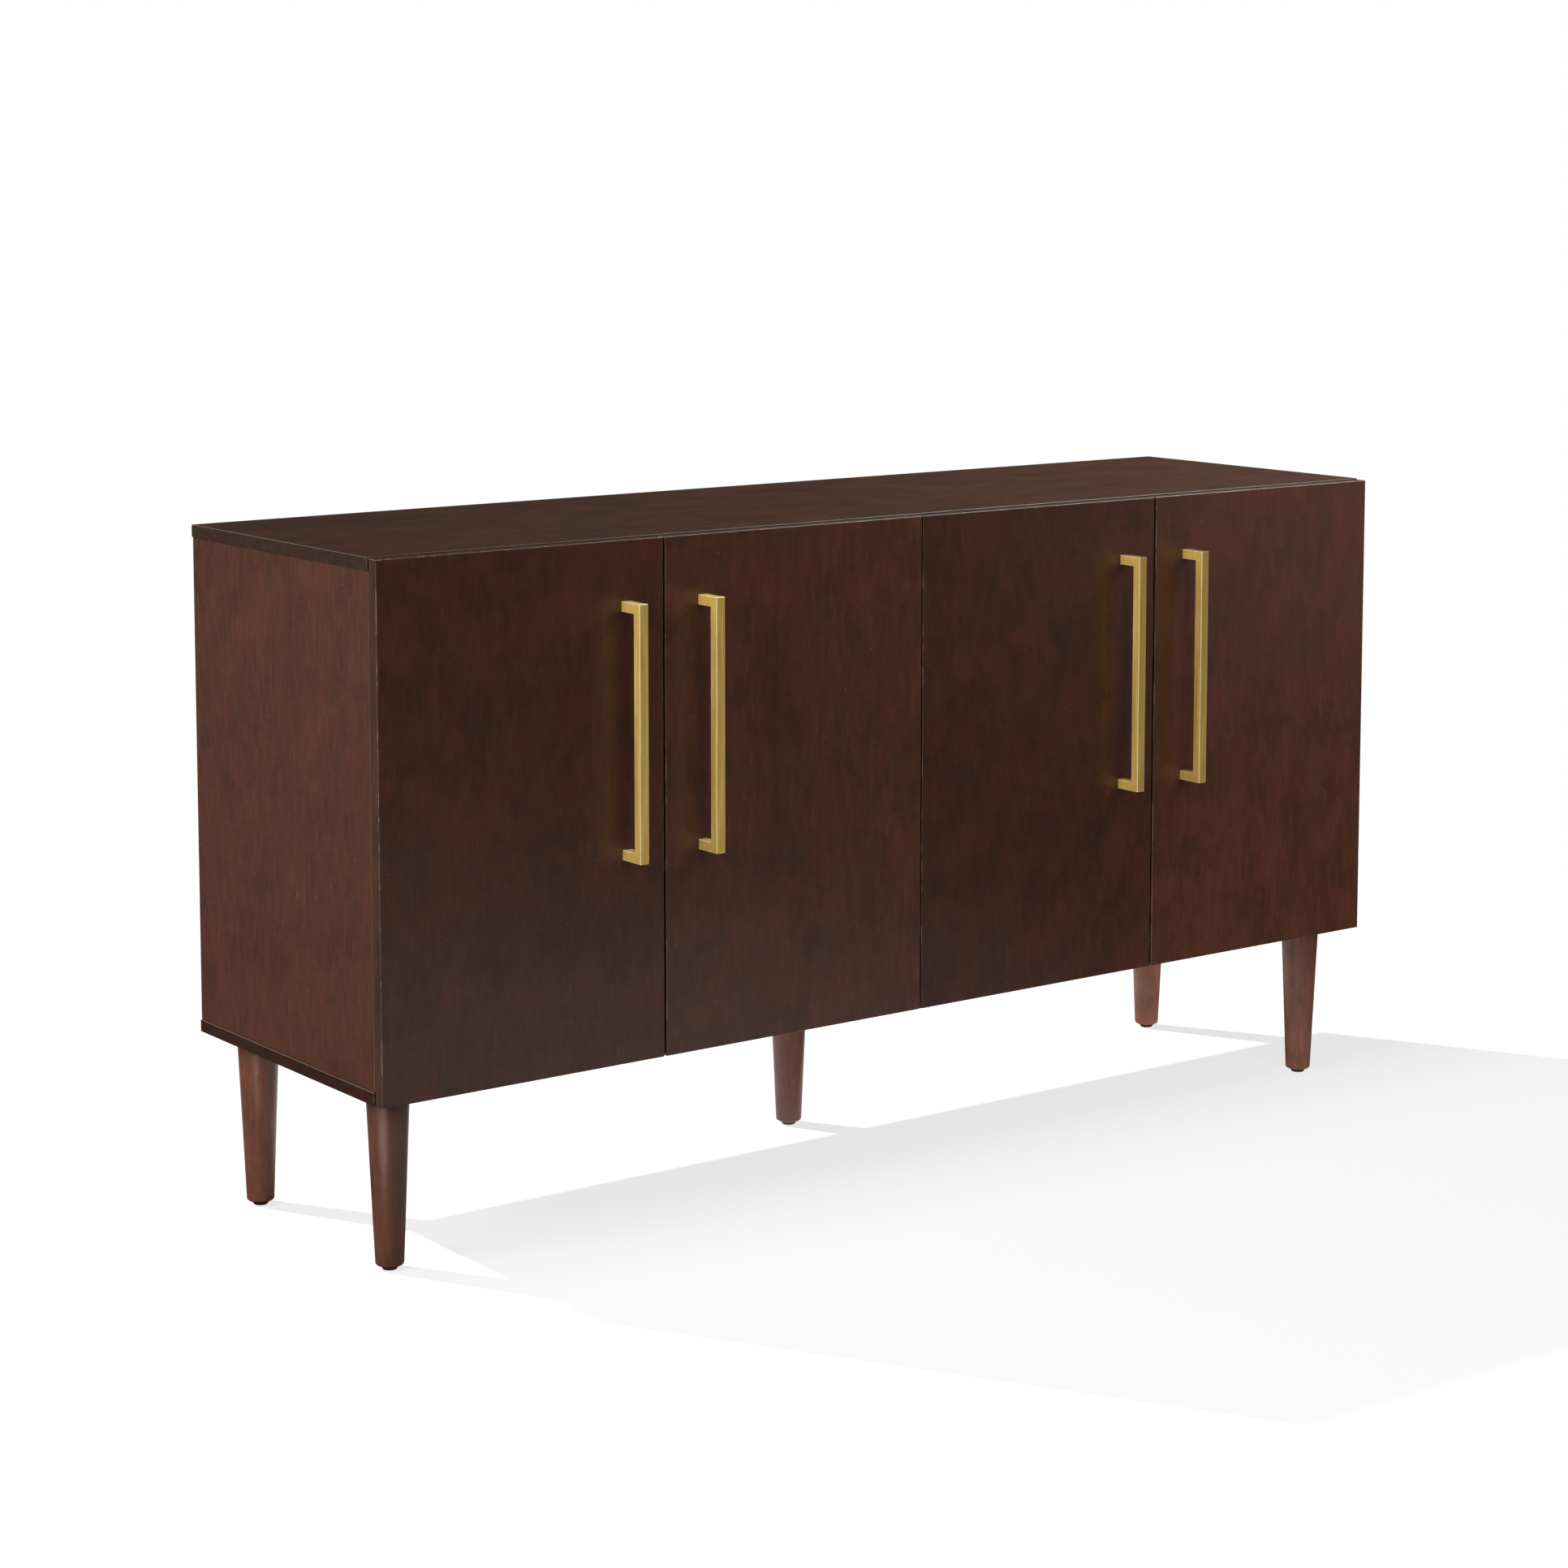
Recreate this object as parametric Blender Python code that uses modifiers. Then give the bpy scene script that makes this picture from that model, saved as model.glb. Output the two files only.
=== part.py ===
"""A four-door sideboard on five turned legs, built piece by piece at real size.

Metres, +Z up. The front faces -Y and +X is to the right of a person facing the front. The
origin is on the floor, at the middle of the whole object's length and depth, pulls included.

Doors 1 to 4 run from left to right. Doors 1 and 4 hang on the sides. Doors 2 and 3 hang back to
back on the centre partition. Each hangs on two concealed cup hinges, whose pivot is taken at
the door's outer front edge.
"""

import math

import bmesh
import bpy
from mathutils import Matrix, Vector

# Driving sizes
LENGTH = 1.524
HEIGHT = 0.818
BODY_DEPTH = 0.430  # front of the doors to the back
PULL_PROJECTION = 0.037
BOARD = 0.015  # thickness of every board, door and shelf
LEG_SPACE = 0.206  # floor to the underside of the bottom panel
GLIDE_HEIGHT = 0.005
DOOR_GAP = 0.002  # doors to the carcass behind them
CONTACT = 0.0003  # left between pieces that touch

# Carcass
SIDE_SETBACK = 0.0015  # the top and bottom panels stand this far past the sides
BACK_THICKNESS = 0.003
BACK_RECESS = 0.010  # back panels, in from the back edge of the carcass
GROOVE_DEPTH = 0.0065
SHELF_SETBACK = 0.030
SHELF_CLEARANCE = 0.001  # each end of a shelf to the wall beside it
BOARD_CHAMFER = 0.0006

# Shelf pins and the rows of holes that take them
PIN_RADIUS = 0.0025
PIN_COLLAR_RADIUS = 0.0045
PIN_COLLAR_THICKNESS = 0.0012
PIN_IN_WALL = 0.0068
PIN_REACH = 0.010
HOLE_PITCH = 0.032
HOLE_DEPTH = 0.009
HOLES_IN_ROW = 3
PIN_INSET_FRONT = 0.045
PIN_INSET_BACK = 0.060

# Doors
DOOR_END_MARGIN = 0.001  # outer door edge, in from the end of the top panel
DOOR_TOP_MARGIN = 0.0015
DOOR_BOTTOM_MARGIN = 0.0005
MIDDLE_SEAM = 0.002  # between doors 2 and 3
OPENING_SEAM = 0.003  # between doors 1 and 2, and doors 3 and 4

# Bar pulls
PULL_BAR = 0.012
PULL_LENGTH = 0.300
PULL_FROM_TOP = 0.070
PULL_FROM_EDGE = 0.046
PULL_CHAMFER = 0.0007
PULL_SCREW_RADIUS = 0.00225

# Legs, glides and the studs that screw into the bottom panel
LEG_TOP_RADIUS = 0.025
LEG_FOOT_RADIUS = 0.0165
LEG_EDGE_RADIUS = 0.0035
STUD_RADIUS = 0.004
STUD_LENGTH = 0.010
GLIDE_RADIUS = 0.0107
GLIDE_FOOT_RADIUS = 0.0085
LEG_END_INSET = 0.0455  # leg centre, in from the end of the bottom panel
FRONT_LEG_BEHIND_DOORS = 0.065
MIDDLE_LEG_BEHIND_DOORS = 0.272
BACK_LEG_BEHIND_DOORS = 0.371

# Concealed hinges, seen from above: u runs into the door from its hinge edge, v runs back from
# the door's front face.
HINGE_FROM_DOOR_END = 0.095
CUP_CENTRE_U = 0.0225
CUP_RADIUS = 0.0174
CUP_WALL = 0.0012
CUP_FLOOR_V = 0.004
CUP_BORE_RADIUS = 0.0178
CUP_BORE_FLOOR_V = 0.0036
FLANGE_THICKNESS = 0.0012
FLANGE_HALF_LENGTH = 0.022
FLANGE_HALF_WIDTH = 0.008
CUP_PIN = Vector((0.014, 0.0105))  # u, v
CUP_PIN_RADIUS = 0.0014
LINK_KNEE = Vector((0.026, 0.0105))
LINK_TAIL = Vector((0.0245, 0.058))
LINK_HALF_THICKNESS = 0.00125
LINK_EYE_RADIUS = 0.0034
LINK_EYE_HOLE = 0.0018
LINK_WIDTH = 0.009
ARM_INNER_U = 0.019  # the channel's hollow, nearest the wall
ARM_OUTER_U = 0.033
ARM_SKIN = 0.0015
ARM_FRONT_V = 0.0185
ARM_BACK_V = 0.072
ARM_HALF_HOLLOW = 0.0062
PLATE_FRONT_V = 0.034
PLATE_BACK_V = 0.066
PLATE_HALF_HEIGHT = 0.020

ROUND_STEPS = 24
LEG_STEPS = 24
SMALL_STEPS = 12
LEG_EDGE_POINTS = 5
GLIDE_EDGE_POINTS = 4
LINK_EYE_POINTS = 15
WELD_DISTANCE = 0.00001
CHAMFER_ANGLE = math.radians(40)  # edges sharper than this are chamfered
SMOOTH_ANGLE = math.radians(30)  # edges sharper than this stay sharp in a turned or flat piece

# Places worked out from the sizes
HALF_LENGTH = LENGTH / 2
FRONT = -(BODY_DEPTH + PULL_PROJECTION) / 2
BACK = (BODY_DEPTH + PULL_PROJECTION) / 2
DOOR_FRONT = FRONT + PULL_PROJECTION
DOOR_BACK = DOOR_FRONT + BOARD
CARCASS_FRONT = DOOR_BACK + DOOR_GAP
BOTTOM_UNDERSIDE = LEG_SPACE
BOTTOM_SURFACE = LEG_SPACE + BOARD
TOP_UNDERSIDE = HEIGHT - BOARD
SIDE_OUTER = HALF_LENGTH - SIDE_SETBACK
SIDE_INNER = SIDE_OUTER - BOARD
HALF_PARTITION = BOARD / 2
BACK_PANEL_BACK = BACK - BACK_RECESS
BACK_PANEL_FRONT = BACK_PANEL_BACK - BACK_THICKNESS
SHELF_FRONT = CARCASS_FRONT + SHELF_SETBACK
SHELF_BACK = BACK_PANEL_FRONT - 2 * CONTACT
SHELF_UNDERSIDE = (BOTTOM_SURFACE + TOP_UNDERSIDE - BOARD) / 2
PIN_HEIGHT = SHELF_UNDERSIDE - CONTACT - PIN_RADIUS
PIN_ROWS = (CARCASS_FRONT + PIN_INSET_FRONT, BACK_PANEL_FRONT - PIN_INSET_BACK)
DOOR_LOW = BOTTOM_UNDERSIDE + DOOR_BOTTOM_MARGIN
DOOR_HIGH = HEIGHT - DOOR_TOP_MARGIN
DOOR_EDGE = HALF_LENGTH - DOOR_END_MARGIN
DOOR_WIDTH = (DOOR_EDGE - MIDDLE_SEAM / 2 - OPENING_SEAM) / 2
PULL_TOP = DOOR_HIGH - PULL_FROM_TOP
HINGE_HEIGHTS = {"lower": DOOR_LOW + HINGE_FROM_DOOR_END, "upper": DOOR_HIGH - HINGE_FROM_DOOR_END}

# Each door: the x of its hinge edge, and +1 where the door runs to +X from it, -1 to -X.
DOORS = {
    1: (-DOOR_EDGE, 1),
    2: (-MIDDLE_SEAM / 2, -1),
    3: (MIDDLE_SEAM / 2, 1),
    4: (DOOR_EDGE, -1),
}
# Distance from a door's hinge edge to the wall that its hinge arms are screwed to.
OUTER_WALL_U = DOOR_EDGE - SIDE_INNER
MIDDLE_WALL_U = HALF_PARTITION - MIDDLE_SEAM / 2

LEG_X = HALF_LENGTH - LEG_END_INSET
LEGS = {
    "front_left": (-LEG_X, DOOR_FRONT + FRONT_LEG_BEHIND_DOORS),
    "front_right": (LEG_X, DOOR_FRONT + FRONT_LEG_BEHIND_DOORS),
    "back_left": (-LEG_X, DOOR_FRONT + BACK_LEG_BEHIND_DOORS),
    "back_right": (LEG_X, DOOR_FRONT + BACK_LEG_BEHIND_DOORS),
    "centre": (0.0, DOOR_FRONT + MIDDLE_LEG_BEHIND_DOORS),
}


# Scene, collections and materials


def clear_scene():
    for item in list(bpy.data.objects):
        bpy.data.objects.remove(item, do_unlink=True)


def new_collection(name):
    collection = bpy.data.collections.new(name)
    bpy.context.scene.collection.children.link(collection)
    return collection


def new_material(name, colour, roughness, metallic=0.0):
    material = bpy.data.materials.new(name)
    material.use_nodes = True
    shader = material.node_tree.nodes["Principled BSDF"]
    shader.inputs["Base Color"].default_value = (*colour, 1.0)
    shader.inputs["Roughness"].default_value = roughness
    shader.inputs["Metallic"].default_value = metallic
    material.diffuse_color = (*colour, 1.0)
    return material


clear_scene()
PARTS = new_collection("sideboard_buffet")
CUTTERS = new_collection("cutters")
WOOD = new_material("dark_wood", (0.070, 0.030, 0.022), 0.42)
BRASS = new_material("satin_brass", (0.62, 0.44, 0.17), 0.34, 1.0)
STEEL = new_material("hinge_steel", (0.62, 0.62, 0.60), 0.30, 1.0)
BLACK_PLASTIC = new_material("glide_plastic", (0.02, 0.02, 0.02), 0.55)


# Building blocks


def make_object(name, mesh, material, parent=None, at=(0.0, 0.0, 0.0), turn=(0.0, 0.0, 0.0)):
    """A named part. Its place is given in world coordinates, whatever its parent."""
    part = bpy.data.objects.new(name, mesh)
    PARTS.objects.link(part)
    if not mesh.materials:
        mesh.materials.append(material)
    part.parent = parent
    base = parent.location if parent else Vector()
    part.location = Vector(at) - base
    part.rotation_euler = turn
    return part


def make_cutter(name, mesh):
    cutter = bpy.data.objects.new(name, mesh)
    CUTTERS.objects.link(cutter)
    cutter.hide_render = True
    cutter.display_type = "WIRE"
    return cutter


def box_mesh(name, low, high):
    """A box between two corners, from Blender's cube."""
    low, high = Vector(low), Vector(high)
    size = high - low
    shape = bmesh.new()
    bmesh.ops.create_cube(shape, size=1.0)
    bmesh.ops.scale(shape, vec=size, verts=shape.verts)
    bmesh.ops.translate(shape, vec=(low + high) / 2, verts=shape.verts)
    mesh = bpy.data.meshes.new(name)
    shape.to_mesh(mesh)
    shape.free()
    return mesh


def rods_mesh(name, rods, steps):
    """Separate round rods in one mesh. Each rod is (start, end, radius)."""
    shape = bmesh.new()
    for start, end, radius in rods:
        start, end = Vector(start), Vector(end)
        along = end - start
        place = Matrix.Translation((start + end) / 2) @ along.to_track_quat("Z", "Y").to_matrix().to_4x4()
        bmesh.ops.create_cone(
            shape, cap_ends=True, segments=steps, radius1=radius, radius2=radius,
            depth=along.length, matrix=place,
        )
    mesh = bpy.data.meshes.new(name)
    shape.to_mesh(mesh)
    shape.free()
    return mesh


def combine(part, other, operation):
    step = part.modifiers.new(operation.lower(), "BOOLEAN")
    step.operation = operation
    step.solver = "EXACT"
    step.object = other


def chamfer(part, width):
    step = part.modifiers.new("chamfer", "BEVEL")
    step.width = width
    step.segments = 1
    step.limit_method = "ANGLE"
    step.angle_limit = CHAMFER_ANGLE


def turned_mesh(name, profile, steps):
    """A turned piece about Z. The profile is (radius, height) points, from the top down."""
    mesh = bpy.data.meshes.new(name)
    points = [(radius, 0.0, height) for radius, height in profile]
    edges = [(i, i + 1) for i in range(len(points) - 1)]
    mesh.from_pydata(points, edges, [])
    blank = bpy.data.objects.new(name, mesh)
    CUTTERS.objects.link(blank)
    screw = blank.modifiers.new("turn", "SCREW")
    screw.axis = "Z"
    screw.steps = steps
    screw.render_steps = steps
    screw.use_merge_vertices = True
    screw.merge_threshold = WELD_DISTANCE
    turned = finished_mesh(name, blank)
    bpy.data.objects.remove(blank, do_unlink=True)
    return turned


def finished_mesh(name, part):
    """The part's shape with its modifiers worked out, as a mesh that its copies share."""
    view = bpy.context.evaluated_depsgraph_get()
    view.update()
    mesh = bpy.data.meshes.new_from_object(part.evaluated_get(view))
    mesh.name = name
    shape = bmesh.new()
    shape.from_mesh(mesh)
    bmesh.ops.remove_doubles(shape, verts=shape.verts, dist=WELD_DISTANCE)
    shape.to_mesh(mesh)
    shape.free()
    mesh.shade_smooth()
    mesh.set_sharp_from_angle(angle=SMOOTH_ANGLE)
    return mesh


def outline_mesh(name, outlines, thickness):
    """A flat plate in XY, centred on Z = 0. The first outline is its edge, the others are holes."""
    curve = bpy.data.curves.new(name, "CURVE")
    curve.dimensions = "2D"
    curve.fill_mode = "BOTH"
    curve.extrude = thickness / 2
    for outline in outlines:
        spline = curve.splines.new("POLY")
        spline.points.add(len(outline) - 1)
        for point, (x, y) in zip(spline.points, outline):
            point.co = (x, y, 0.0, 1.0)
        spline.use_cyclic_u = True
    blank = bpy.data.objects.new(name, curve)
    CUTTERS.objects.link(blank)
    mesh = finished_mesh(name, blank)
    bpy.data.objects.remove(blank, do_unlink=True)
    return mesh


def arc(centre, radius, start, end, count):
    """Points on an arc, from one angle to another."""
    points = []
    for i in range(count):
        angle = start + (end - start) * i / (count - 1)
        points.append((centre[0] + radius * math.cos(angle), centre[1] + radius * math.sin(angle)))
    return points


def ring(centre, radius, count):
    return arc(centre, radius, 0.0, 2 * math.pi * (1 - 1 / count), count)


# Carcass


def add_board(name, low, high):
    board = make_object(name, box_mesh(name, low, high), WOOD)
    chamfer(board, BOARD_CHAMFER)
    return board


def groove_cutter():
    """One slab, a little thicker than the back panels, that cuts their groove all round."""
    reach_x = SIDE_INNER + GROOVE_DEPTH
    return make_cutter("back_groove", box_mesh(
        "back_groove",
        (-reach_x, BACK_PANEL_FRONT - CONTACT, BOTTOM_SURFACE - GROOVE_DEPTH),
        (reach_x, BACK_PANEL_BACK + CONTACT, TOP_UNDERSIDE + GROOVE_DEPTH),
    ))


def pin_hole_rods(start_x, end_x):
    middle = (HOLES_IN_ROW - 1) / 2
    rods = []
    for y in PIN_ROWS:
        for i in range(HOLES_IN_ROW):
            z = PIN_HEIGHT + (i - middle) * HOLE_PITCH
            rods.append(((start_x, y, z), (end_x, y, z), PIN_RADIUS + CONTACT))
    return rods


def add_carcass():
    groove = groove_cutter()
    top = add_board(
        "top_panel", (-HALF_LENGTH, CARCASS_FRONT, TOP_UNDERSIDE), (HALF_LENGTH, BACK, HEIGHT)
    )
    bottom = add_board(
        "bottom_panel",
        (-HALF_LENGTH, CARCASS_FRONT, BOTTOM_UNDERSIDE),
        (HALF_LENGTH, BACK, BOTTOM_SURFACE),
    )
    stud_holes = [
        ((x, y, BOTTOM_UNDERSIDE - BOARD), (x, y, BOTTOM_UNDERSIDE + STUD_LENGTH + CONTACT),
         STUD_RADIUS + CONTACT)
        for x, y in LEGS.values()
    ]
    combine(top, groove, "DIFFERENCE")
    combine(bottom, groove, "DIFFERENCE")
    holes = make_cutter("stud_holes", rods_mesh("stud_holes", stud_holes, SMALL_STEPS))
    combine(bottom, holes, "DIFFERENCE")

    wall_low = BOTTOM_SURFACE + CONTACT
    wall_high = TOP_UNDERSIDE - CONTACT
    for name, side in (("left_side", -1), ("right_side", 1)):
        faces = sorted((side * SIDE_INNER, side * SIDE_OUTER))
        wall = add_board(name, (faces[0], CARCASS_FRONT, wall_low), (faces[1], BACK, wall_high))
        combine(wall, groove, "DIFFERENCE")
        rods = pin_hole_rods(side * (SIDE_INNER - HOLE_DEPTH), side * (SIDE_INNER + HOLE_DEPTH))
        pin_holes = make_cutter(name + "_pin_holes", rods_mesh(name, rods, SMALL_STEPS))
        combine(wall, pin_holes, "DIFFERENCE")

    partition = add_board(
        "centre_partition",
        (-HALF_PARTITION, CARCASS_FRONT, wall_low),
        (HALF_PARTITION, BACK_PANEL_FRONT - CONTACT, wall_high),
    )
    rods = pin_hole_rods(-BOARD, BOARD)
    through_holes = make_cutter("partition_pin_holes", rods_mesh("through_holes", rods, SMALL_STEPS))
    combine(partition, through_holes, "DIFFERENCE")

    edge = GROOVE_DEPTH - CONTACT
    for name, side in (("back_panel_left", -1), ("back_panel_right", 1)):
        ends = sorted((side * CONTACT, side * (SIDE_INNER + edge)))
        mesh = box_mesh(
            name,
            (ends[0], BACK_PANEL_FRONT, BOTTOM_SURFACE - edge),
            (ends[1], BACK_PANEL_BACK, TOP_UNDERSIDE + edge),
        )
        make_object(name, mesh, WOOD)


def pin_profile():
    """A shelf pin about Z: the end in the wall is the low one, and Z = 0 is the wall's face."""
    collar = CONTACT + PIN_COLLAR_THICKNESS
    return [
        (0.0, PIN_REACH),
        (PIN_RADIUS, PIN_REACH),
        (PIN_RADIUS, collar),
        (PIN_COLLAR_RADIUS, collar),
        (PIN_COLLAR_RADIUS, CONTACT),
        (PIN_RADIUS, CONTACT),
        (PIN_RADIUS, -PIN_IN_WALL),
        (0.0, -PIN_IN_WALL),
    ]


def add_shelves():
    pin = turned_mesh("shelf_pin", pin_profile(), SMALL_STEPS)
    for name, side in (("left", -1), ("right", 1)):
        walls = {"inner": side * HALF_PARTITION, "outer": side * SIDE_INNER}
        ends = sorted(walls.values())
        low = (ends[0] + SHELF_CLEARANCE, SHELF_FRONT, SHELF_UNDERSIDE)
        high = (ends[1] - SHELF_CLEARANCE, SHELF_BACK, SHELF_UNDERSIDE + BOARD)
        shelf = add_board("shelf_" + name, low, high)
        # The collars of the pins stand in shallow notches under the shelf's ends.
        notches = []
        for end, wall_x in walls.items():
            inward = side if end == "inner" else -side
            for row, y in zip(("front", "back"), PIN_ROWS):
                make_object(
                    f"shelf_pin_{name}_{end}_{row}", pin, STEEL,
                    at=(wall_x, y, PIN_HEIGHT), turn=(0.0, inward * math.pi / 2, 0.0),
                )
                far = wall_x + inward * (PIN_COLLAR_THICKNESS + 3 * CONTACT)
                notches.append(((wall_x - inward * BOARD, y, PIN_HEIGHT), (far, y, PIN_HEIGHT),
                                PIN_COLLAR_RADIUS + CONTACT))
        notch = make_cutter(f"shelf_{name}_notches", rods_mesh("notches", notches, SMALL_STEPS))
        combine(shelf, notch, "DIFFERENCE")


# Legs and glides


def leg_profile():
    top = BOTTOM_UNDERSIDE - CONTACT
    foot = GLIDE_HEIGHT
    edge_centre = (LEG_FOOT_RADIUS - LEG_EDGE_RADIUS, foot + LEG_EDGE_RADIUS)
    return [
        (0.0, top + STUD_LENGTH),
        (STUD_RADIUS, top + STUD_LENGTH),
        (STUD_RADIUS, top),
        (LEG_TOP_RADIUS, top),
        *arc(edge_centre, LEG_EDGE_RADIUS, 0.0, -math.pi / 2, LEG_EDGE_POINTS),
        (0.0, foot),
    ]


def glide_profile():
    top = GLIDE_HEIGHT - CONTACT
    edge = GLIDE_RADIUS - GLIDE_FOOT_RADIUS
    return [
        (0.0, top),
        (GLIDE_RADIUS, top),
        *arc((GLIDE_FOOT_RADIUS, edge), edge, 0.0, -math.pi / 2, GLIDE_EDGE_POINTS),
        (0.0, 0.0),
    ]


def add_legs():
    leg = turned_mesh("turned_leg", leg_profile(), LEG_STEPS)
    glide = turned_mesh("glide", glide_profile(), ROUND_STEPS)
    for name, (x, y) in LEGS.items():
        make_object("leg_" + name, leg, WOOD, at=(x, y, 0.0))
        make_object("glide_" + name, glide, BLACK_PLASTIC, at=(x, y, 0.0))


# Doors and pulls


def pull_x(number):
    """The middle of a door's pull, which stands near the edge away from the hinges."""
    hinge_x, side = DOORS[number]
    return hinge_x + side * (DOOR_WIDTH - PULL_FROM_EDGE - PULL_BAR / 2)


def pull_screw_heights():
    return (PULL_TOP - PULL_BAR / 2, PULL_TOP - PULL_LENGTH + PULL_BAR / 2)


def add_axis_empty(number):
    """An empty on the door's hinge axis. Everything on the door hangs from it."""
    axis = bpy.data.objects.new(f"door_{number}_axis", None)
    PARTS.objects.link(axis)
    axis.location = (DOORS[number][0], DOOR_FRONT, 0.0)
    return axis


def add_door(number, axis):
    hinge_x, side = DOORS[number]
    name = f"door_{number}"
    ends = sorted((0.0, side * DOOR_WIDTH))
    mesh = box_mesh(name, (ends[0], 0.0, DOOR_LOW), (ends[1], BOARD, DOOR_HIGH))
    door = make_object(name, mesh, WOOD, parent=axis, at=axis.location)
    chamfer(door, BOARD_CHAMFER)

    cup_x = hinge_x + side * CUP_CENTRE_U
    cup_bores = [
        ((cup_x, DOOR_FRONT + CUP_BORE_FLOOR_V, z), (cup_x, DOOR_BACK + BOARD, z), CUP_BORE_RADIUS)
        for z in HINGE_HEIGHTS.values()
    ]
    bores = make_cutter(name + "_cup_bores", rods_mesh("cup_bores", cup_bores, ROUND_STEPS))
    combine(door, bores, "DIFFERENCE")

    screw_bores = [
        ((pull_x(number), DOOR_FRONT - BOARD, z), (pull_x(number), DOOR_BACK + BOARD, z),
         PULL_SCREW_RADIUS)
        for z in pull_screw_heights()
    ]
    screws = make_cutter(name + "_screw_bores", rods_mesh("screw_bores", screw_bores, SMALL_STEPS))
    combine(door, screws, "DIFFERENCE")


def pull_outline():
    """The square bracket shape of a pull: x is world Y from the door's face, y is height."""
    face = -CONTACT
    inner = -(PULL_PROJECTION - PULL_BAR)
    return [
        (face, 0.0),
        (face, -PULL_BAR),
        (inner, -PULL_BAR),
        (inner, PULL_BAR - PULL_LENGTH),
        (face, PULL_BAR - PULL_LENGTH),
        (face, -PULL_LENGTH),
        (-PULL_PROJECTION, -PULL_LENGTH),
        (-PULL_PROJECTION, 0.0),
    ]


def add_pull(number, mesh, axis):
    pull = make_object(
        f"pull_{number}", mesh, BRASS, parent=axis,
        at=(pull_x(number), DOOR_FRONT, PULL_TOP), turn=(math.pi / 2, 0.0, math.pi / 2),
    )
    chamfer(pull, PULL_CHAMFER)


# Concealed hinges. Their shapes are made once, for a door that runs to +X, with the hinge's
# middle at Z = 0. Half a turn about Y gives the hinges of a door that runs to -X.


def hinge_cup_mesh():
    """The round cup with its flange on the back of the door, and the pin that carries the link."""
    flange_low = BOARD + CONTACT
    flange_high = flange_low + FLANGE_THICKNESS
    cup = make_object("cup", rods_mesh("cup", [
        ((CUP_CENTRE_U, CUP_FLOOR_V, 0.0), (CUP_CENTRE_U, flange_high, 0.0), CUP_RADIUS),
    ], ROUND_STEPS), STEEL)
    flange = make_cutter("flange", box_mesh(
        "flange",
        (CUP_CENTRE_U - FLANGE_HALF_WIDTH, flange_low, -FLANGE_HALF_LENGTH),
        (CUP_CENTRE_U + FLANGE_HALF_WIDTH, flange_high, FLANGE_HALF_LENGTH),
    ))
    hollow = make_cutter("hollow", rods_mesh("hollow", [
        ((CUP_CENTRE_U, CUP_FLOOR_V + CUP_WALL, 0.0), (CUP_CENTRE_U, flange_high + BOARD, 0.0),
         CUP_RADIUS - CUP_WALL),
    ], ROUND_STEPS))
    # The pin ends inside the cup's round wall, which is nearer than the wall on the centre line.
    off_centre = CUP_CENTRE_U - CUP_PIN.x
    pin_reach = math.sqrt((CUP_RADIUS - CUP_WALL / 2) ** 2 - off_centre ** 2)
    pin = make_cutter("pin", rods_mesh("pin", [
        ((CUP_PIN.x, CUP_PIN.y, -pin_reach), (CUP_PIN.x, CUP_PIN.y, pin_reach), CUP_PIN_RADIUS),
    ], SMALL_STEPS))
    combine(cup, flange, "UNION")
    combine(cup, hollow, "DIFFERENCE")
    combine(cup, pin, "UNION")
    return take_mesh("hinge_cup", cup, (flange, hollow, pin))


def hinge_arm_mesh(name, wall_u):
    """A hollow arm, open at both ends, on the mounting plate that is screwed to the wall."""
    half_height = ARM_HALF_HOLLOW + ARM_SKIN
    arm = make_object("arm", box_mesh(
        "arm",
        (ARM_INNER_U - ARM_SKIN, ARM_FRONT_V, -half_height),
        (ARM_OUTER_U + ARM_SKIN, ARM_BACK_V, half_height),
    ), STEEL)
    hollow = make_cutter("hollow", box_mesh(
        "hollow",
        (ARM_INNER_U, ARM_FRONT_V - ARM_SKIN, -ARM_HALF_HOLLOW),
        (ARM_OUTER_U, ARM_BACK_V + ARM_SKIN, ARM_HALF_HOLLOW),
    ))
    plate = make_cutter("plate", box_mesh(
        "plate",
        (wall_u + CONTACT, PLATE_FRONT_V, -PLATE_HALF_HEIGHT),
        (ARM_INNER_U - ARM_SKIN / 2, PLATE_BACK_V, PLATE_HALF_HEIGHT),
    ))
    combine(arm, plate, "UNION")
    combine(arm, hollow, "DIFFERENCE")
    return take_mesh(name, arm, (hollow, plate))


def take_mesh(name, part, tools):
    """The finished mesh of a part that was only a step, which is removed with its tools."""
    mesh = finished_mesh(name, part)
    for item in (part, *tools):
        bpy.data.objects.remove(item, do_unlink=True)
    return mesh


def link_outline():
    """The link about its own pin: a round eye, a short neck, a knee and a long straight tail."""
    knee = LINK_KNEE - CUP_PIN
    tail = LINK_TAIL - CUP_PIN
    half = LINK_HALF_THICKNESS
    along = (tail - knee).normalized()
    across = Vector((along.y, -along.x))  # to the outer side of the knee
    corner_angle = math.atan2(along.y, along.x) / 2
    mitre = Vector((math.sin(corner_angle), -math.cos(corner_angle))) * half / math.cos(corner_angle)
    neck = math.asin(half / LINK_EYE_RADIUS)
    return [
        *arc((0.0, 0.0), LINK_EYE_RADIUS, neck, 2 * math.pi - neck, LINK_EYE_POINTS),
        tuple(knee + mitre),
        tuple(tail + across * half),
        tuple(tail - across * half),
        tuple(knee - mitre),
    ]


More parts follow.
